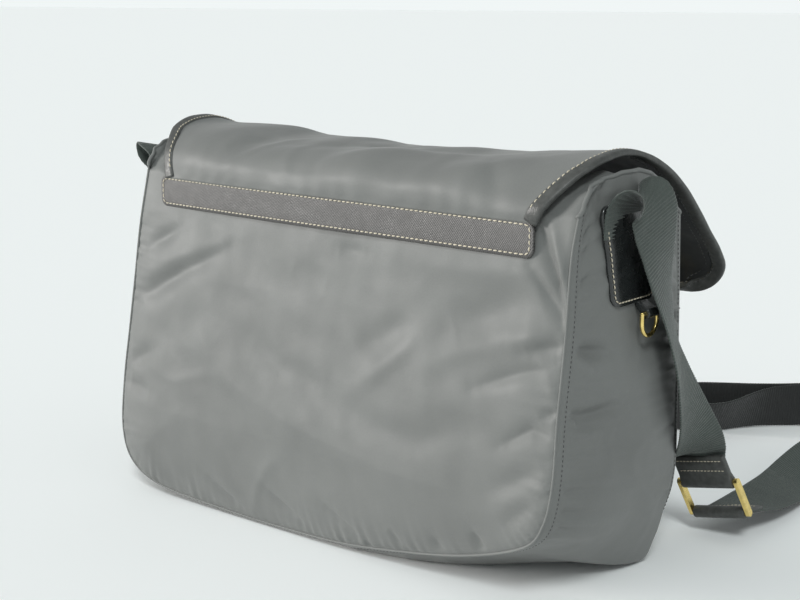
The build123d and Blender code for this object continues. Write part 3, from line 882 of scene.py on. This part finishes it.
def bulged(grid, seam, folds, outward, seed):
    """Adds the panel's belly, seam groove, gathers and folds along Y."""
    flat = grid[..., (0, 2)]
    distance, place = seam_distance(flat, seam[:, (0, 2)])
    height = table(BELLY, grid[..., 2]) * (1 - np.exp(-distance / 24))
    height -= 0.9 * np.exp(-((distance / 1.8) ** 2))
    calm = 1 - 0.85 * ease((grid[..., 2] - 205) / 12)
    height += puckers(distance, place, seed, 0.75, 10) * calm
    height += waves(flat, seed + 1, 170, 80) * 1.1 * (1 - np.exp(-distance / 30)) * calm
    height += waves(flat, seed + 2, 44, 20) * 0.25 * calm
    near_seam = (0.35 + 0.5 * np.exp(-distance / 40)) * ease(distance / 8)
    height += creases(flat, seed + 3, 190, 90) * near_seam * calm
    for line, width, size, sharp in folds:
        height += FOLD_DEPTH * fold(flat, line, width, size, sharp) * ease(distance / 4)
    grid = np.array(grid)
    grid[..., 1] += outward * height
    return grid


def shoulders(back):
    """Carries the back panel up and forwards at both ends of its top edge, under the flap."""
    top = back[-1]
    ends = ease((np.abs(top[:, 0]) - 128) / 34)
    rows = []
    for k in range(1, 25):
        y = 57 - 1.6 * k
        row = np.array(top)
        row[:, 1] -= (57 - y) * (0.35 + 0.65 * ends)
        gathers = 1.2 * np.sin(row[:, 0] / 3.3 + k / 4)
        row[:, 2] += (table(EAR, y) + gathers) * ends * 0.86 - 0.1 * k * (1 - ends)
        rows.append(row)
    return np.concatenate([back, rows])


def make_panels(back_seam, front_seam):
    back = bulged(panel_grid(back_seam, 3), back_seam, BACK_FOLDS, outward=1, seed=3)
    front = bulged(panel_grid(front_seam, 3), front_seam, FRONT_FOLDS, outward=-1, seed=11)
    piece("body_back", slab(shoulders(back), WALL), NYLON, "bag", ["back_panel"])
    piece("body_front", slab(front[:, ::-1], WALL), NYLON, "bag", ["front_panel"])


def gusset_surface(back_seam, front_seam):
    """The band between the two seams: (steps along the seam, steps across the depth, 3)."""
    steps = len(back_seam)
    turn = np.linspace(0, pi, DEPTH_STEPS)
    s = 0.5 * (0.5 - 0.5 * np.cos(turn)) + 0.5 * np.linspace(0, 1, DEPTH_STEPS)
    middle = (back_seam + front_seam) / 2
    run = unit(np.gradient(middle, axis=0) * (1, 0, 1))
    outward = np.column_stack([run[:, 2], np.zeros(steps), -run[:, 0]])
    along = lengths(back_seam)
    end = np.minimum(along, along[-1] - along)
    first, second = corner_places(back_seam)
    index = np.arange(steps)
    corner = np.exp(-(((index - first) / 26) ** 2)) + np.exp(-(((index - second) / 26) ** 2))
    under = ease((-outward[:, 2] - 0.3) / 0.5)
    size = (SIDE_BULGE + (CORNER_BULGE - SIDE_BULGE) * corner) * (1 - under) * (0.35 + 0.65 * ease(end / 70))
    crown = 1 - np.abs(2 * s - 1) ** 2.4
    grid = back_seam[:, None] * (1 - s)[None, :, None] + front_seam[:, None] * s[None, :, None]
    distance = np.minimum(s[None], 1 - s[None]) * DEPTH + 0 * along[:, None]
    place = np.where(s[None] < 0.5, along[:, None], along[:, None] + 500)
    height = size[:, None] * crown[None]
    side = 1 - under[:, None]
    height += 1.0 * np.exp(-(((distance - 2.6) / 2.4) ** 4)) - 0.5 * np.exp(-((distance / 0.9) ** 2))
    height += puckers(np.maximum(distance - 6, 0), place, 21, 2.8, 17) * side * ease((distance - 6) / 5)
    flat = np.stack([grid[..., 1], grid[..., 2] + (grid[..., 0] > 0) * 700], axis=-1)
    inner = ease((distance - 5) / 10)
    height += waves(flat, 31, 130, 50) * 1.0 * side * crown[None]
    height += creases(flat, 33, 160, 80) * 0.6 * side * inner
    mirror = np.stack([grid[..., 1], grid[..., 2]], axis=-1)
    for line, width, depth in GUSSET_FOLDS:
        share = np.where(grid[..., 0] < 0, 1.0, 0.6)
        height += GUSSET_FOLD_DEPTH * fold(mirror, line, width, depth, 1.6) * side * share * inner
    grid = grid + outward[:, None] * height[..., None]
    reach = table(UNDER_REACH, grid[..., 0])
    share = np.minimum(ease(DEPTH * s[None] / reach), ease(DEPTH * (1 - s[None]) / 12))
    grid[..., 2] -= under[:, None] * share * np.maximum(grid[..., 2] - 0.6, 0)
    grid[..., 2] += table(EAR, grid[..., 1]) * (1 - ease(end / EAR_REACH))[:, None]
    grid[..., 2] = np.maximum(grid[..., 2], 0.25)
    return grid


def make_gusset(back_seam, front_seam):
    grid = gusset_surface(back_seam, front_seam)
    nodes = ["gusset_left", "gusset_right", "bottom_panel"]
    piece("gusset_band", slab(grid, WALL), NYLON, "bag", nodes)
    normal = normals_of(grid)
    rows = []
    for column in (SEWN_COLUMN, DEPTH_STEPS - 1 - SEWN_COLUMN):
        line, up = grid[:, column], normal[:, column]
        keep = line[:, 2] > 3
        rows.append(stitch_row(line[keep], up[keep], 2.9, 1.7, 0.34, lift=0.0))
    piece("gusset_stitches", joined(rows), DARK_THREAD, "bag")
    for name, seam in (("back", back_seam), ("front", front_seam)):
        line = even(seam, 400)
        run = unit(np.gradient(line, axis=0))
        side = unit(np.cross(run, [0, 1, 0]))
        out = np.array([0, 1 if name == "back" else -1, 0])
        piece(f"seam_{name}", round_tube(line, side, out, 0.9, 0.5), NYLON, "bag")
    for side, line, x in (("left", grid[0], -1.0), ("right", grid[-1], 1.0)):
        out = np.array([x, 0, 0])
        rise = unit(np.cross(unit(np.gradient(line, axis=0)), out))
        piece(f"ear_hem_{side}", round_tube(line, rise, out, 1.4, 0.5), NYLON, "bag")
    return grid


def drawn_in(seam, amount):
    """The seam moved towards the middle of the bag, and clear of the floor."""
    centre = np.array([0, 0, 120])
    moved = seam - unit((seam - centre) * (1, 0, 1)) * amount
    moved[:, 1] -= np.sign(seam[:, 1]) * amount
    moved[:, 2] = np.maximum(moved[:, 2], 3.5)
    return moved


def make_lining(back_seam, front_seam):
    back_in, front_in = drawn_in(back_seam, LINING_INSET), drawn_in(front_seam, LINING_INSET)
    s = np.linspace(0, 1, 25)
    parts = [back_in[:, None] * (1 - s)[None, :, None] + front_in[:, None] * s[None, :, None]]
    for seam in (back_in, front_in):
        grid = panel_grid(seam)
        grid[..., 1] += waves(grid[..., (0, 2)], 41, 120, 50) * 0.8
        parts.append(grid)
    parts[2] = parts[2][:, ::-1]
    shape = joined([slab(part, 0.6) for part in parts])
    piece("body_lining", shape, LINING, "bag", ["lining"])


def make_base_board():
    """The base board, flexed up where the bag's lower left corner lifts off the floor."""
    x, y = np.meshgrid(np.linspace(-114, 114, 60), np.linspace(-46, 46, 30))
    round_off = 1 - 0.12 * (np.abs(y) / 46) ** 6
    lift = 20 * ease((-50 - x) / 70) * ease((y + 12) / 60)
    grid = np.stack([x * round_off, y, 6.2 + lift], axis=-1)
    piece("board_sheet", slab(grid, 2.0), BOARD, "bag", ["base_board"])


# ---------------------------------------------------------------- leather strip and tabs

def rounded_patch(length, height, radius, columns=160, rows=12):
    """A flat grid of (u, v) points with rounded ends, u along the length."""
    share = np.linspace(-1, 1, columns)
    u = np.sign(share) * (1 - (1 - np.abs(share)) ** 1.5) * length / 2
    over = np.clip((np.abs(u) - (length / 2 - radius)) / radius, 0, 1)
    half = height / 2 - radius * (1 - np.sqrt(np.maximum(1 - over**2, 0)))
    v = np.linspace(-1, 1, rows)[:, None] * half[None]
    return np.stack([np.broadcast_to(u, v.shape), v], axis=-1)


def outline_stitches(length, height, radius, inset, count):
    """The closed stitch line of a rounded rectangle, as evenly spaced (u, v) pairs."""
    a, b, r = length / 2 - inset, height / 2 - inset, max(radius - inset, 0.5)
    corners = [(a - r, b - r, 0), (-a + r, b - r, 90), (-a + r, -b + r, 180), (a - r, -b + r, 270)]
    points = []
    for x, y, start in corners:
        for turn in range(0, 91, 15):
            angle = radians(start + turn)
            points.append((x + r * cos(angle), y + r * sin(angle)))
    return even(np.array(points + points[:1]), count)


def strip_y(x, lift):
    """The strip's y along its length: a slight wave, and sunk towards its right end."""
    return BACK_TOP_Y + lift + 0.35 * np.sin(x / 47) - 0.02 * np.maximum(x, 0) ** 1.02


def make_strip():
    low, high = node_box("back_strip")
    length, height = high[0] - low[0], high[2] - low[2]
    middle = (low[2] + high[2]) / 2
    patch = rounded_patch(length, height, STRIP_CORNER)
    x, z = patch[..., 0], patch[..., 1] + middle
    crown = 1.1 - 0.5 * (np.abs(patch[..., 1]) / (height / 2)) ** 4
    grid = np.stack([x, strip_y(x, 1.3 + crown), z], axis=-1)
    piece("back_strip_leather", slab(grid, 2.2, 0.5), GRAINED, "bag", ["back_strip"])
    u, v = outline_stitches(length, height, STRIP_CORNER, 2.3, 700).T
    sewn = np.column_stack([u, strip_y(u, 2.35), v + middle])
    thread = stitch_row(sewn, np.tile([0.0, 1.0, 0.0], (len(sewn), 1)), 3.7, 2.8, 0.45, lean=0.08)
    piece("back_strip_thread", thread, THREAD, "bag")


def side_height(side_grid, y, z):
    """The left side's x at places on it, averaged over the nearest points."""
    flat = side_grid[:140].reshape(-1, 3)
    out = []
    for yi, zi in zip(np.ravel(y), np.ravel(z)):
        gap = (flat[:, 1] - yi) ** 2 + (flat[:, 2] - zi) ** 2
        near = np.argpartition(gap, 40)[:40]
        out.append(flat[near, 0].mean())
    return np.array(out).reshape(np.shape(y))


def make_tab(side_grid):
    low, high = node_box("strap_tab_left")
    width, height = high[1] - low[1] + 5, high[2] - low[2]
    centre_y, centre_z = (low[1] + high[1]) / 2 + 6, (low[2] + high[2]) / 2 + 0.5

    def laid(u, v, lift):
        """Places on the tab, u up it and v across it, on the bag's side."""
        z = centre_z + u
        y = centre_y + v + u * 0.2
        x = np.minimum(side_height(side_grid, y, z) * 0.5 + (low[0] + high[0]) / 4 + 0.6, low[0] + 5) - lift
        return np.stack([x, y, z], axis=-1)

    patch = rounded_patch(height, width, TAB_CORNER, 46, 30)
    grid = laid(patch[..., 0], patch[..., 1], 2.4)
    sewn = laid(*outline_stitches(height, width, TAB_CORNER, 2.5, 240).T, 2.55)
    leather = slab(grid[:, ::-1], 2.4, 0.5)
    thread = stitch_row(sewn, np.tile([-1.0, 0.0, 0.0], (len(sewn), 1)), 3.3, 2.5, 0.42, lean=0.1)
    leather_pair("tab", leather, thread, SMOOTH, "strap_tab")
    low, high = node_box("d_ring_loop_left")
    bar = np.array([low[0] + 3.4, (low[1] + high[1]) / 2, D_BAR_HEIGHT])
    inward = unit(np.array([0.75, 0.0, 0.65]))
    along = np.array([0.0, 1.0, 0.0])
    loop = loop_piece(loop_section(3.3, 9, 3.6), bar, along, inward, np.cross(along, inward), 11)
    leather_pair("ring_loop", loop, None, SMOOTH, "d_ring_loop")


# ---------------------------------------------------------------- flap

def flap_surface():
    rows, columns = FLAP_STEPS
    total = lengths(smooth([(0, *p) for p in FLAP_LEFT], 400))[-1]
    corner_start = 1 - FLAP_CORNER / total
    main = np.linspace(0, corner_start, rows - 26, endpoint=False)
    bend = corner_start + (1 - corner_start) * np.sin(np.linspace(0, pi / 2, 26))
    share = np.concatenate([main, bend])
    sides = [smooth([(0, *p) for p in line], rows, share) for line in (FLAP_LEFT, FLAP_MIDDLE, FLAP_RIGHT)]
    along = share * total
    over = np.clip((along - (total - FLAP_CORNER)) / FLAP_CORNER, 0, 1)
    half = table(FLAP_HALF, along) - FLAP_CORNER * (1 - np.sqrt(np.maximum(1 - over**2, 0)))
    right_half = half - table(FLAP_NARROW_RIGHT, along)
    w = np.linspace(-1, 1, columns)
    w = np.sign(w) * np.abs(w) ** 0.92
    power = 2.4 - 1.3 * ease((along - 75) / 50)
    grid = np.zeros((rows, columns, 3))
    for j, x in enumerate(w):
        side = sides[0] if x < 0 else sides[2]
        e = (abs(x) ** power)[:, None]
        grid[:, j] = sides[1] * (1 - e) + side * e
        grid[:, j, 0] = x * (half if x < 0 else right_half)
    flat = np.stack([grid[..., 0], np.broadcast_to(along[:, None], grid.shape[:2])], axis=-1)
    calm = ease(along / 22)[:, None] * (1 - np.abs(w)[None] ** 6)
    height = waves(flat, 51, 170, 70) * 1.5 * calm + waves(flat, 52, 50, 26) * 0.25 * calm
    height = height + creases(flat, 53, 190, 90) * 0.6 * calm
    root = np.exp(-along / 12)[:, None] * ease(along / 4)[:, None]
    height = height + root * 0.5 * np.sin(flat[..., 0] / 3.1 + 2 * np.sin(flat[..., 0] / 17))
    for line, width, size in FLAP_FOLDS:
        height = height + FOLD_DEPTH * fold(flat, line, width, size, 1.8) * (1 - np.abs(w)[None] ** 10)
    return grid + normals_of(grid) * height[..., None]


def edge_line(grid, normal):
    """The flap's free border from root to root, with its inward and normal directions."""
    rows, columns = grid.shape[:2]
    places = [(i, 0) for i in range(rows)]
    places += [(rows - 1, j) for j in range(1, columns)]
    places += [(i, columns - 1) for i in range(rows - 2, -1, -1)]
    line, inward, up = [], [], []
    for i, j in places:
        inner = grid[min(i, rows - 3), min(max(j, 2), columns - 3)]
        line.append(grid[i, j])
        inward.append(inner - grid[i, j])
        up.append(normal[i, j])
    both = even(np.hstack([np.array(line), unit(np.array(inward)), np.array(up)]), 700)
    line, inward, up = both[:, :3], both[:, 3:6], both[:, 6:9]
    for _ in range(6):
        inward[1:-1] = (inward[:-2] + inward[1:-1] + inward[2:]) / 3
    run = unit(np.gradient(line, axis=0))
    up = unit(up - run * np.sum(up * run, axis=1)[:, None])
    inward = unit(inward - run * np.sum(inward * run, axis=1)[:, None])
    inward = unit(inward - up * np.sum(inward * up, axis=1)[:, None])
    return line, inward, up


def make_flap():
    grid = flap_surface()
    normal = normals_of(grid)
    cloth = piece("flap_cloth", slab(grid, FLAP_CLOTH, 0.1), NYLON, None, ["flap_shell"])
    under = grid - normal * (FLAP_CLOTH + 0.15)
    flat = np.stack([grid[..., 0], grid[..., 1] - grid[..., 2]], axis=-1)
    free = 1 - np.abs(np.linspace(-1, 1, FLAP_STEPS[1]))[None] ** 8
    under = under - normal * ((0.35 + 0.3 * waves(flat, 61, 60, 25)) * free)[..., None]
    lining = piece("flap_lining_cloth", slab(under, FLAP_LINING, 0.1), LINING, None, ["flap_lining"])

    line, inward, up = edge_line(grid, normal)
    centre = line - up * 0.9 + inward * (EDGE_WIDTH / 2 - 1.6)
    along = lengths(line)
    swell = 1 + 0.05 * np.sin(along / 9) + 0.04 * np.sin(along / 4.3)
    section = oval(EDGE_WIDTH, EDGE_THICK, 22, 0.62)
    tube = centre[:, None] + section[None, :, :1] * inward[:, None]
    tube = tube + (section[None, :, 1:] * swell[:, None, None]) * up[:, None]
    binding = piece("flap_edge", sweep(tube), EDGE, None, ["flap_binding"])
    rows = []
    for side in (1, -1):
        sewn = line - up * 0.9 + inward * 6.2 + up * side * (EDGE_THICK / 2 - 0.35)
        rows.append(stitch_row(sewn[6:-6], side * up[6:-6], 3.6, 2.6, 0.42, lean=0.12))
    thread = piece("flap_edge_thread", rows[0], THREAD, None)
    top = line - up * 1.6 + inward * 11.5 - up * 0.9
    inner = stitch_row(top[10:-10], -up[10:-10], 3.2, 2.0, 0.3, lift=0.1)
    lining_thread = piece("flap_lining_thread", joined([rows[1], inner]), DARK_THREAD, None)
    for part in (cloth, lining, binding, thread, lining_thread):
        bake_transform(part)
    return grid, normal


def make_zip(flap, normal):
    """Zip tape and separate teeth, laid along the flap's own surface."""
    low, high = node_box("flap_zip_teeth")
    y_zip = (low[1] + high[1]) / 2
    middle = np.argmin(np.abs(flap[..., 1] - y_zip) + (flap[..., 2] < 200) * 900, axis=0)
    columns = np.arange(flap.shape[1])
    line = np.hstack([flap[middle, columns], normal[middle, columns]])
    line = line[np.argsort(line[:, 0])]
    line = line[np.abs(line[:, 0]) < 170]
    calmed = [np.convolve(np.pad(c, 4, "edge"), np.ones(9) / 9, "valid") for c in line[:, 1:].T]
    line = np.column_stack([line[:, 0]] + calmed)
    x = np.linspace(low[0] - 3, high[0] + 3, 180)
    at = point_at(line, line[:, 0], x).T
    up = unit(at[:, 3:] + 0.001 * Z_AXIS)
    ahead = unit(np.cross(up, X_AXIS))
    share = np.linspace(-1, 1, 9)
    lift = 0.5 - 0.35 * np.abs(share) ** 3
    tape = at[:, None, :3] + ahead[:, None] * (share * 6)[None, :, None] + up[:, None] * lift[None, :, None]
    piece("zip_tape_cloth", slab(tape, 0.5, 0.1), ZIP_TAPE, "flap", ["flap_zip_tape"])
    parts, section = [], oval(1.35, 1.5, 8, 0.6)
    for k, tooth in enumerate(np.arange(low[0] + 1.2, high[0] - 1.2, 2.4)):
        centre = point_at(at[:, :3], x, tooth)
        rise = unit(point_at(up, x, tooth))
        front = unit(np.cross(rise, X_AXIS)) * (1 if k % 2 else -1)
        rows = []
        for reach, size in ((-2.6, 0.85), (-1.2, 1.0), (0.8, 1.0), (1.5, 0.7)):
            spot = centre + rise * 0.9 - front * reach
            rows.append([spot + size * (a * X_AXIS + b * rise) for a, b in section])
        parts.append(sweep(np.array(rows)))
    piece("zip_teeth", joined(parts), BRASS, "flap", ["flap_zip_teeth"])
    sewn = [stitch_row(at[:, :3] + ahead * k, up, 3.0, 2.0, 0.28, lift=0.05) for k in (-8.5, 8.5)]
    piece("zip_thread", joined(sewn), DARK_THREAD, "flap")


# ---------------------------------------------------------------- pocket and closing straps

def make_pocket():
    low, high = node_box("pocket_panel")
    half, bottom, top = (high[0] - low[0]) / 2, low[2], high[2]
    y, r = low[1] + 2.0, POCKET_CORNER
    left = [(-half, y, top), (-half, y, (top + bottom) / 2)]
    left += [(-half + r - r * cos(a), y, bottom + r - r * sin(a)) for a in np.linspace(0, pi / 2, 12)]
    seam = even(np.array(left + [(-x, y, z) for x, y, z in reversed(left)]), 221)
    grid = panel_grid(seam)
    flat = grid[..., (0, 2)]
    distance, place = seam_distance(flat, seam[:, (0, 2)])
    height = 4.5 * (1 - np.exp(-distance / 22)) - 0.8 * np.exp(-((distance / 1.8) ** 2))
    height += puckers(distance, place, 71, 0.7, 8) + waves(flat, 72, 110, 45) * 0.8
    grid[..., 1] -= height * (1 - 0.75 * ease((grid[..., 2] - top + 30) / 30))
    piece("pocket_front", slab(grid[:, ::-1], WALL), NYLON, "bag", ["pocket_panel"])
    s = np.linspace(0, 1, 25)
    wall = np.repeat(seam[:, None], len(s), axis=1)
    wall[..., 1] = seam[:, None, 1] * (1 - s)[None] + POCKET_BACK_Y * s[None]
    out = unit((seam - (0, 0, 90)) * (1, 0, 1))
    bulge = 2.6 * (1 - np.abs(2 * s - 1) ** 2.2)[None] * ease((top - seam[:, 2] + 20) / 40)[:, None]
    bulge = bulge + puckers(np.minimum(s, 1 - s)[None] * 42, lengths(seam)[:, None] + 0 * s[None], 73, 0.6, 8)
    wall = wall + out[:, None] * bulge[..., None]
    piece("pocket_wall", slab(wall[:, ::-1], WALL), NYLON, "bag", ["pocket_gusset"])
    side = unit(np.cross(unit(np.gradient(seam, axis=0)), Y_AXIS))
    piece("pocket_seam", round_tube(seam, side, -Y_AXIS, 1.0), NYLON, "bag")
    low, high = node_box("pocket_binding")
    section = oval(high[2] - low[2] + 1.5, high[1] - low[1])
    xs = np.linspace(low[0], high[0], 120)
    _, y, z = (low + high) / 2
    bar = np.array([[(x, y + v, z + u + 0.4 * sin(x / 40)) for u, v in section] for x in xs])
    piece("pocket_edge", sweep(bar), EDGE, "bag", ["pocket_binding"])
    row = np.array([(x, low[1] + 0.1, low[2] + 1.8) for x in xs[2:-2]])
    thread = stitch_row(row, np.tile([0.0, -1.0, 0.0], (len(row), 1)), 3.6, 2.6, 0.42, lean=0.1)
    piece("pocket_edge_thread", thread, THREAD, "bag")


def make_closing(side):
    x = -CLOSE_X if side == "left" else CLOSE_X
    low, high = node_box(f"closing_strap_{side}")
    width = high[0] - low[0]
    lean = radians(CLOSE_LEAN)
    drop = np.array([0, sin(lean), -cos(lean)])
    out = np.array([0, -cos(lean), -sin(lean)])
    top = np.array([x, -117 - 12 * sin(lean), 180 + 12 * cos(lean)])
    patch = rounded_patch(CLOSE_LENGTH, width, CLOSE_CORNER, 70, 22)
    u, v = patch[..., :1] + CLOSE_LENGTH / 2, patch[..., 1:]
    grid = top + u * drop + v * X_AXIS + out * (0.2 - 0.3 * (np.abs(v) / (width / 2)) ** 4)
    body = f"closing_strap_{side}"
    piece(f"closing_leather_{side}", slab(grid[::-1], 2.4, 0.4), GRAINED, body, [body])
    line = outline_stitches(CLOSE_LENGTH, width, CLOSE_CORNER, 2.3, 240)
    sewn = top + (line[:, :1] + CLOSE_LENGTH / 2) * drop + line[:, 1:] * X_AXIS + out * 0.3
    thread = stitch_row(sewn, np.tile(out, (len(sewn), 1)), 3.4, 2.5, 0.4, lean=0.1)
    piece(f"closing_thread_{side}", thread, THREAD, body)
    chapes = []
    rise = unit(np.array([0, -0.42, 0.9]))
    for shift in (-7.4, 7.4):
        bar = np.array([x + shift, *BUCKLE_BAR])
        chapes.append(loop_piece(loop_section(3.2, 8.5, 3.4), bar, X_AXIS, rise, np.cross(X_AXIS, rise), 10))
    piece(f"chape_leather_{side}", joined(chapes), EDGE, "flap", [f"buckle_chape_{side}"])
    outer = oval(width + 6.5, 7.2, 26, 0.3)
    inner = oval(width + 3.2, 4.0, 26, 0.3)
    middle = top + drop * 34 - out * 1.2
    stations = [(-4, outer), (-3.4, outer * 1.01), (3.4, outer * 1.01), (4, outer), (4, inner), (-4, inner)]
    rings = np.array([[middle + drop * k + a * X_AXIS + b * out for a, b in ring] for k, ring in stations])
    keeper = rings.reshape(-1, 3), band_faces(*rings.shape[:2], closed=True)
    piece(f"keeper_leather_{side}", keeper, EDGE, body, [f"keeper_{side}"])


# ---------------------------------------------------------------- carried-over CAD pieces, floor and light

def finish_cad_nodes():
    """Brass on the metal pieces, which show as the CAD made them."""
    names = ["flap_zip_stops", "flap_zip_slider", "flap_zip_puller", "strap_glide"]
    for name in ("strap_ring", "d_ring", "buckle_frame", "buckle_prong", "snap_stud", "snap_socket"):
        names += [f"{name}_left", f"{name}_right"]
    for name in names:
        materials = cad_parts[name].data.materials
        materials.clear()
        materials.append(BRASS)


def sun_light(name, direction, power, angle, colour):
    light = bpy.data.lights.new(name, "SUN")
    light.energy = power
    light.angle = radians(angle)
    light.color = colour
    made = bpy.data.objects.new(name, light)
    bpy.context.scene.collection.objects.link(made)
    made.rotation_euler = Vector(direction).to_track_quat("-Z", "Y").to_euler()


def make_studio():
    far = FLOOR_SIZE / 2
    mesh = bpy.data.meshes.new("floor")
    mesh.from_pydata([(-far, -far, 0), (far, -far, 0), (far, far, 0), (-far, far, 0)], [], [(0, 1, 2, 3)])
    floor = bpy.data.objects.new("floor", mesh)
    bpy.context.scene.collection.objects.link(floor)
    paper = bpy.data.materials.new("floor_paper")
    paper.use_nodes = True
    shader = paper.node_tree.nodes["Principled BSDF"]
    shader.inputs["Base Color"].default_value = (0.93, 0.945, 0.945, 1)
    shader.inputs["Roughness"].default_value = 1.0
    shader.inputs["Specular IOR Level"].default_value = 0.0
    mesh.materials.append(paper)
    world = bpy.data.worlds.new("studio")
    bpy.context.scene.world = world
    world.use_nodes = True
    nodes, links = world.node_tree.nodes, world.node_tree.links
    nodes["Background"].inputs["Color"].default_value = (0.86, 0.905, 0.905, 1)
    height = nodes.new("ShaderNodeSeparateXYZ")
    links.new(nodes.new("ShaderNodeTexCoord").outputs["Generated"], height.inputs[0])
    fade = nodes.new("ShaderNodeMapRange")
    fade.inputs["From Min"].default_value = 0.02
    fade.inputs["From Max"].default_value = 0.3
    fade.inputs["To Min"].default_value = 1.02
    fade.inputs["To Max"].default_value = 0.5
    links.new(height.outputs["Z"], fade.inputs["Value"])
    links.new(fade.outputs["Result"], nodes["Background"].inputs["Strength"])
    sun_light("key_light", (-0.74, -0.65, -0.17), 3.0, 18, (1.0, 0.97, 0.945))
    sun_light("fill_light", (0.45, -0.55, -0.7), 1.35, 14, (0.95, 1.0, 1.0))
    bpy.context.scene.view_settings.view_transform = "Standard"


make_camera()
strap, doubled, strap_line = make_strap()
ends = make_ring_wraps()
make_anchor_webbing()
back_seam = smooth(BACK_SEAM, SEAM_STEPS)
front_seam = smooth(FRONT_SEAM, SEAM_STEPS)
make_panels(back_seam, front_seam)
side_grid = make_gusset(back_seam, front_seam)
make_lining(back_seam, front_seam)
make_base_board()
make_strip()
make_tab(side_grid)
make_zip(*make_flap())
make_pocket()
for side_name in ("left", "right"):
    make_closing(side_name)
finish_cad_nodes()
make_studio()
